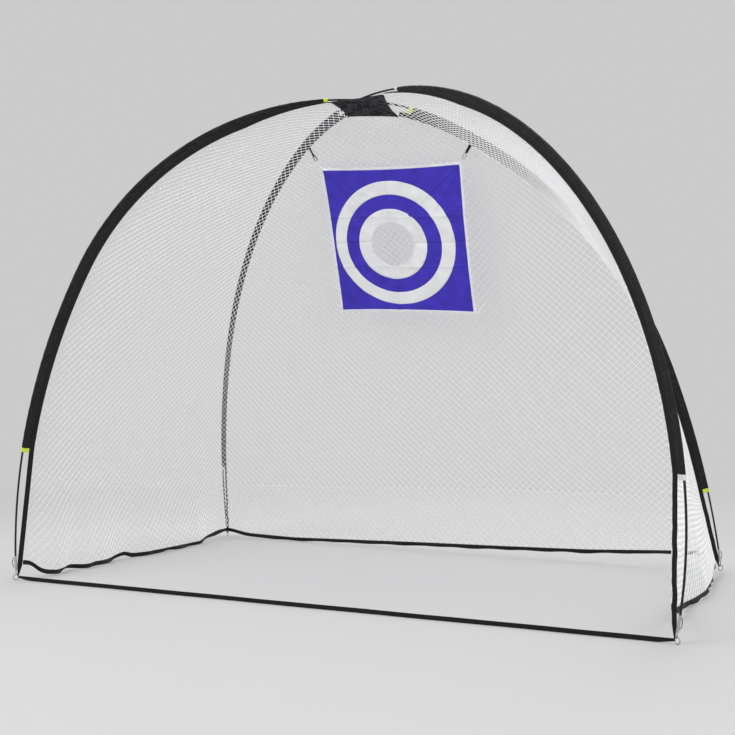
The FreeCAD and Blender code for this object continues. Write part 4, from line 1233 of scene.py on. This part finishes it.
turns = np.linspace(0, 2 * math.pi, 480, endpoint=False)
opening_edge = circle(disc_x, disc_y, seen_radius, 0.97)
disc_edge = circle(disc_x, disc_y, seen_radius + 0.004, 0.97)
hole_edge = circle(disc_x, disc_y, hole_radius, 0.965)
print_outer = circle(-0.0225, 0.0135, print_radius_outer, 0.972)
print_inner = circle(-0.0285, 0.0160, print_radius_inner, 0.967)


def disc_lift(flat):
    """Rumpled seam round the disc, and the rolled edge of its hole."""
    radius = np.linalg.norm(flat - [disc_x, half_side + disc_y], axis=-1)
    puckers = disc_rumple(flat[..., 0], flat[..., 1])
    seam = np.exp(-np.abs(radius - seen_radius + 0.010) / 0.012) * 0.0026
    roll = np.exp(-np.abs(radius - hole_radius - 0.006) / 0.006) * 0.0022
    return puckers * (seam + roll) + np.exp(-((radius - seen_radius + 0.012) / 0.006) ** 2) * 0.0012


def layer_piece(name, inner, outer, thickness, out, material, slot, node, rumple=None):
    """Layer between two outlines of the target; thickness is one value for each step across."""
    steps = np.linspace(0, 1, len(thickness))[None, :, None]
    first, last = inner(turns)[:, None, :], outer(turns)[:, None, :]
    flat = first + (last - first) * steps
    half = np.asarray(thickness) / 2
    flat = np.concatenate([flat, flat[:, ::-1]], 1)
    height = np.concatenate([out + half, (out - half)[::-1]])[None, :] + flat[..., 0] * 0
    if rumple is not None:
        height = height + rumple(flat)
    rings = target_point(flat[..., 0], flat[..., 1], height)
    return dress(loop_mesh(name, rings, flat, material), "target", slot, node)


def seam_line(edge, out, rumple=None):
    """Closed line over the target, for stitches."""
    flat = edge(np.append(turns, 2 * math.pi))
    lift = out if rumple is None else out + rumple(flat)
    return target_point(flat[:, 0], flat[:, 1], lift)


def target_layers():
    thin = np.ones(72) * cloth_thickness
    cloth = layer_piece("target_sheet", opening_edge, square(half_side - 0.009), thin, 0.0, target_blue,
                        "target_cloth", "target_cloth")
    rounded = np.array([0.75, 1.0, 1.0, 1.0, 1.0, 0.9, 0.4]) * binding_thickness
    binding = layer_piece("target_edge_binding", square(half_side - binding_width), square(half_side),
                          rounded, 0.0, white_cloth, "white_cloth", "target_binding")
    flat_print = np.array([0.3] + [1.0] * 14 + [0.3]) * ring_print
    band = layer_piece("target_white_ring", print_inner, print_outer, flat_print, 0.0016, white_cloth,
                       "white_cloth", "target_ring")
    hemmed = np.array([1.3, 1.5, 1.5, 1.2] + [1.0] * 14 + [1.1, 1.3, 1.3, 0.6]) * 0.0012
    disc = layer_piece("target_middle_disc", hole_edge, disc_edge, hemmed, 0.0016, white_cloth,
                       "white_cloth", "target_disc", disc_lift)
    lines = [seam_line(square(half_side - 0.0095), 0.0015), seam_line(print_outer, 0.0021),
             seam_line(circle(disc_x, disc_y, seen_radius - 0.001, 0.97), 0.0027, disc_lift),
             seam_line(circle(disc_x, disc_y, hole_radius + 0.007, 0.965), 0.0026, disc_lift)]
    thread = stitches("target_stitches", lines, white_thread, "target", "white_cloth", 0.0045, 0.0030, 0.0006)


# Cords: smooth curves through their route's points
def route(points, cyclic=False):
    """Curve of one spline with the points as its control points."""
    curve = bpy.data.curves.new("route", "CURVE")
    curve.dimensions = "3D"
    spline = curve.splines.new("NURBS")
    spline.points.add(len(points) - 1)
    weighted = np.column_stack([points, np.ones(len(points))])
    spline.points.foreach_set("co", weighted.astype(np.float32).ravel())
    spline.order_u = 3
    spline.use_endpoint_u = not cyclic
    spline.use_cyclic_u = cyclic
    return curve


def cord_curve(name, points, diameter, material, cyclic=False):
    curve = route(points, cyclic)
    curve.name = name
    curve.bevel_depth = diameter / 2
    curve.bevel_resolution = 3
    curve.use_fill_caps = True
    curve.materials.append(material)
    return linked(name, curve)


def knot_piece(name, centre, body, size=0.00115):
    """Small tied knot: the cord drawn through its own loop."""
    t = np.linspace(0, 2 * math.pi, 24, endpoint=False)
    shape = [np.sin(t) + 2 * np.sin(2 * t), np.cos(t) - 2 * np.cos(2 * t), -1.4 * np.sin(3 * t)]
    obj = cord_curve(name, centre + np.stack(shape, 1) * size, cord_d * 0.95, white_cord, True)
    return dress(obj, body, "white_cord")


def hanger(name, one, place, anchor, sign, twist):
    """Webbing tab on the tape, the loop that turns on it, and the cord to the target's corner. twist turns
    the webbing's flat side to the front at its top."""
    corner = target_point(sign * half_side, 0.0)
    downward = unit(corner - anchor)
    across = unit(target_along - downward * (target_along @ downward))
    facing = np.cross(across, downward)
    facing = facing * np.sign(facing @ target_front)
    inset = np.linspace(tape_inner - 0.008, anchor_inset + 0.001, 12)
    middle = one.at(np.full(12, place), inset)
    aside = one.heading(place) * (hanger_width / 2)
    tab = band_piece(name + "_hanger_tab", middle - aside, middle + aside, one.side[None, :], 0.0026,
                     black_webbing)
    dress(tab, "frame", "webbing")
    foot = hanger_length - band_open_half - 0.0007
    down = np.linspace(0, foot, 30)
    gap = 0.0008 + (band_open_half - 0.0008) * ease((down - 0.020) / 0.034)
    turn = np.linspace(0, math.pi, 11)[1:-1]
    path_a = np.concatenate([gap, band_open_half * np.cos(turn), -gap[::-1]])
    path_b = np.concatenate([down, foot + band_open_half * np.sin(turn), down[::-1]])
    spin = (twist * (1 - ease((path_b - 0.016) / 0.036)))[:, None]
    flat_way = facing * np.cos(spin) + across * np.sin(spin)
    gap_way = across * np.cos(spin) - facing * np.sin(spin)
    path = anchor + gap_way * path_a[:, None] + downward * path_b[:, None]
    tangent = unit(np.gradient(path, axis=0))
    normal = unit(np.cross(tangent, flat_way))
    width = (hanger_width * (1 - 0.45 * ease((path_b - 0.030) / 0.030)))[:, None]
    band = band_piece(name + "_hanger_band", path - flat_way * width / 2, path + flat_way * width / 2, normal,
                      0.00135, black_webbing)
    dress(band, "target", "webbing", name + "_hanger_loop")
    sewn = []
    for side in (-0.0018, 0.0018):
        for begin, finish in (((0.006, -0.005), (0.006, 0.005)), ((0.019, -0.005), (0.019, 0.005)),
                              ((0.006, -0.005), (0.019, 0.005)), ((0.006, 0.005), (0.019, -0.005))):
            seam = anchor + gap_way[0] * side
            ends = [seam + downward * low + flat_way[0] * out for low, out in (begin, finish)]
            sewn.append(ends[0] + (ends[1] - ends[0]) * np.linspace(0, 1, 6)[:, None])
    stitches(name + "_hanger_stitches", sewn, black_thread, "target", "webbing", 0.003, 0.002, 0.0006)
    knot = corner - downward * (knot_d / 2)
    top = anchor + downward * (hanger_length - hanger_webbing - cord_d / 2 - 0.0012)
    spread = hanger_width * 0.275 + cord_d + 0.0003
    sides = [facing * cord_d, facing * spread]
    near = unit(knot - top) * (2 * spread)
    points = [knot + sides[0], top + near + sides[1], top + sides[1], top - sides[1], top + near - sides[1],
              knot - sides[0]]
    cord = dress(cord_curve(name + "_cord", points, cord_d, white_cord), "target", "white_cord",
                 name + "_hanger_cord")
    tied = knot_piece(name + "_cord_knot", knot, "target")


def corner_tie(name, sign):
    """Cord from a lower corner of the target to the net behind it."""
    panel = panels[1]
    corner = target_point(sign * half_side, target_side)
    grid_u, grid_v = np.meshgrid(np.linspace(-0.9, 0.9, 181), np.linspace(0.5, 1.9, 141))
    spots = panel.point(grid_u, grid_v)
    held = spots.reshape(-1, 3)[np.argmin(np.linalg.norm(spots - corner, axis=-1))]
    points = np.array([held, (held + corner) / 2 - up * 0.004, corner])
    line = linked(name + "_line", route(points))
    bpy.context.view_layer.update()
    mesh = bpy.data.meshes.new_from_object(line.evaluated_get(bpy.context.evaluated_depsgraph_get()))
    path = np.array([vertex.co for vertex in mesh.vertices])
    bpy.data.objects.remove(line)
    tangent = unit(np.gradient(path, axis=0))
    first = unit(np.cross(tangent, up))
    second = np.cross(tangent, first)
    turn = np.linspace(0, 2 * math.pi, 10, endpoint=False)[None, :, None]
    round_it = first[:, None, :] * np.cos(turn) + second[:, None, :] * np.sin(turn)
    rings = path[:, None, :] + round_it * cord_d / 2
    across = np.linspace(0, 0.008, 11)[None, :]
    tie = tube_mesh(name, rings, across, path_length(path), white_cord)
    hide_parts("target_corner_ties")
    ends = [knot_piece(name + "_net_knot", held, "frame"),
            knot_piece(name + "_corner_knot", corner, "target")]
    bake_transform(tie)


def elastic_loop(one):
    """Short elastic loop on the outer side of the end ferrule."""
    top = one.foot - pin_wire / 2 - pin_neck - ferrule_length + elastic_margin
    low = top + elastic_chord
    seat = -(ferrule_d + elastic_d) / 2
    points = [one.at(top, seat), one.at(top + 0.006, seat - elastic_rise),
              one.at(low - 0.006, seat - elastic_rise), one.at(low, seat)]
    obj = cord_curve(one.name + "_elastic", points, elastic_d, elastic)
    dress(obj, "frame", "webbing", "foot_elastic_loops")


crown_patch()
ground_strap()
hanger("left", rear_left, anchor_left, left_anchor, -1, 0.0)
hanger("right", rear_right, anchor_right, right_anchor, 1, 1.2)
target_layers()
corner_tie("left_corner_tie", -1)
corner_tie("right_corner_tie", 1)
for leg_one in legs:
    elastic_loop(leg_one)


# Lighting, backdrop and floor
def area_light(name, location, aim, size, power):
    light = bpy.data.lights.new(name, "AREA")
    light.shape = "SQUARE"
    light.size = size
    light.energy = power
    back = unit(np.array(location, float) - aim)
    side = unit(np.cross(up, back))
    pose = np.eye(4)
    pose[:3, 0], pose[:3, 1], pose[:3, 2], pose[:3, 3] = side, np.cross(back, side), back, location
    linked(name, light).matrix_world = Matrix(pose.tolist())


paper = (0.60, 0.60, 0.604, 1.0)
room_middle = np.array([0.0, frame_middle, 1.0])
area_light("key", (-3.5, -5.5, 5.0), room_middle, 5.0, 330.0)
area_light("fill", (6.0, -3.0, 3.5), room_middle, 5.0, 180.0)
area_light("top", (0.0, 2.5, 7.0), room_middle, 6.0, 200.0)
area_light("rear", (0.0, 9.0, 4.0), room_middle, 5.0, 150.0)
world = bpy.data.worlds.new("studio")
bpy.context.scene.world = world
world.use_nodes = True
world.node_tree.nodes["Background"].inputs[0].default_value = paper
world.node_tree.nodes["Background"].inputs[1].default_value = 1.0


def floor_material():
    """Pale floor that fades into the backdrop's tone far from the object."""
    made = Surface("floor", (0.54, 0.54, 0.545), 0.9, Specular_IOR_Level=0.1)
    spread = made.node("ShaderNodeVectorMath", {"operation": "LENGTH"}, i0=made.place()).outputs["Value"]
    glow = made.add("ShaderNodeEmission", Color=paper)
    fade = made.ranged(spread, 3.0, 7.0)
    mixed = made.add("ShaderNodeMixShader", i0=fade, i1=made.shader.outputs[0], i2=glow)
    made.tree.links.new(mixed, made.tree.nodes["Material Output"].inputs[0])
    return made.material


rim_turns = np.linspace(0, 2 * math.pi, 64, endpoint=False)
floor_points = np.stack([30 * np.cos(rim_turns), 30 * np.sin(rim_turns), rim_turns * 0], 1)
floor = new_mesh("floor", floor_points, [list(range(64))], None, floor_material(), smooth=False)
bpy.context.scene.view_settings.view_transform = "Standard"
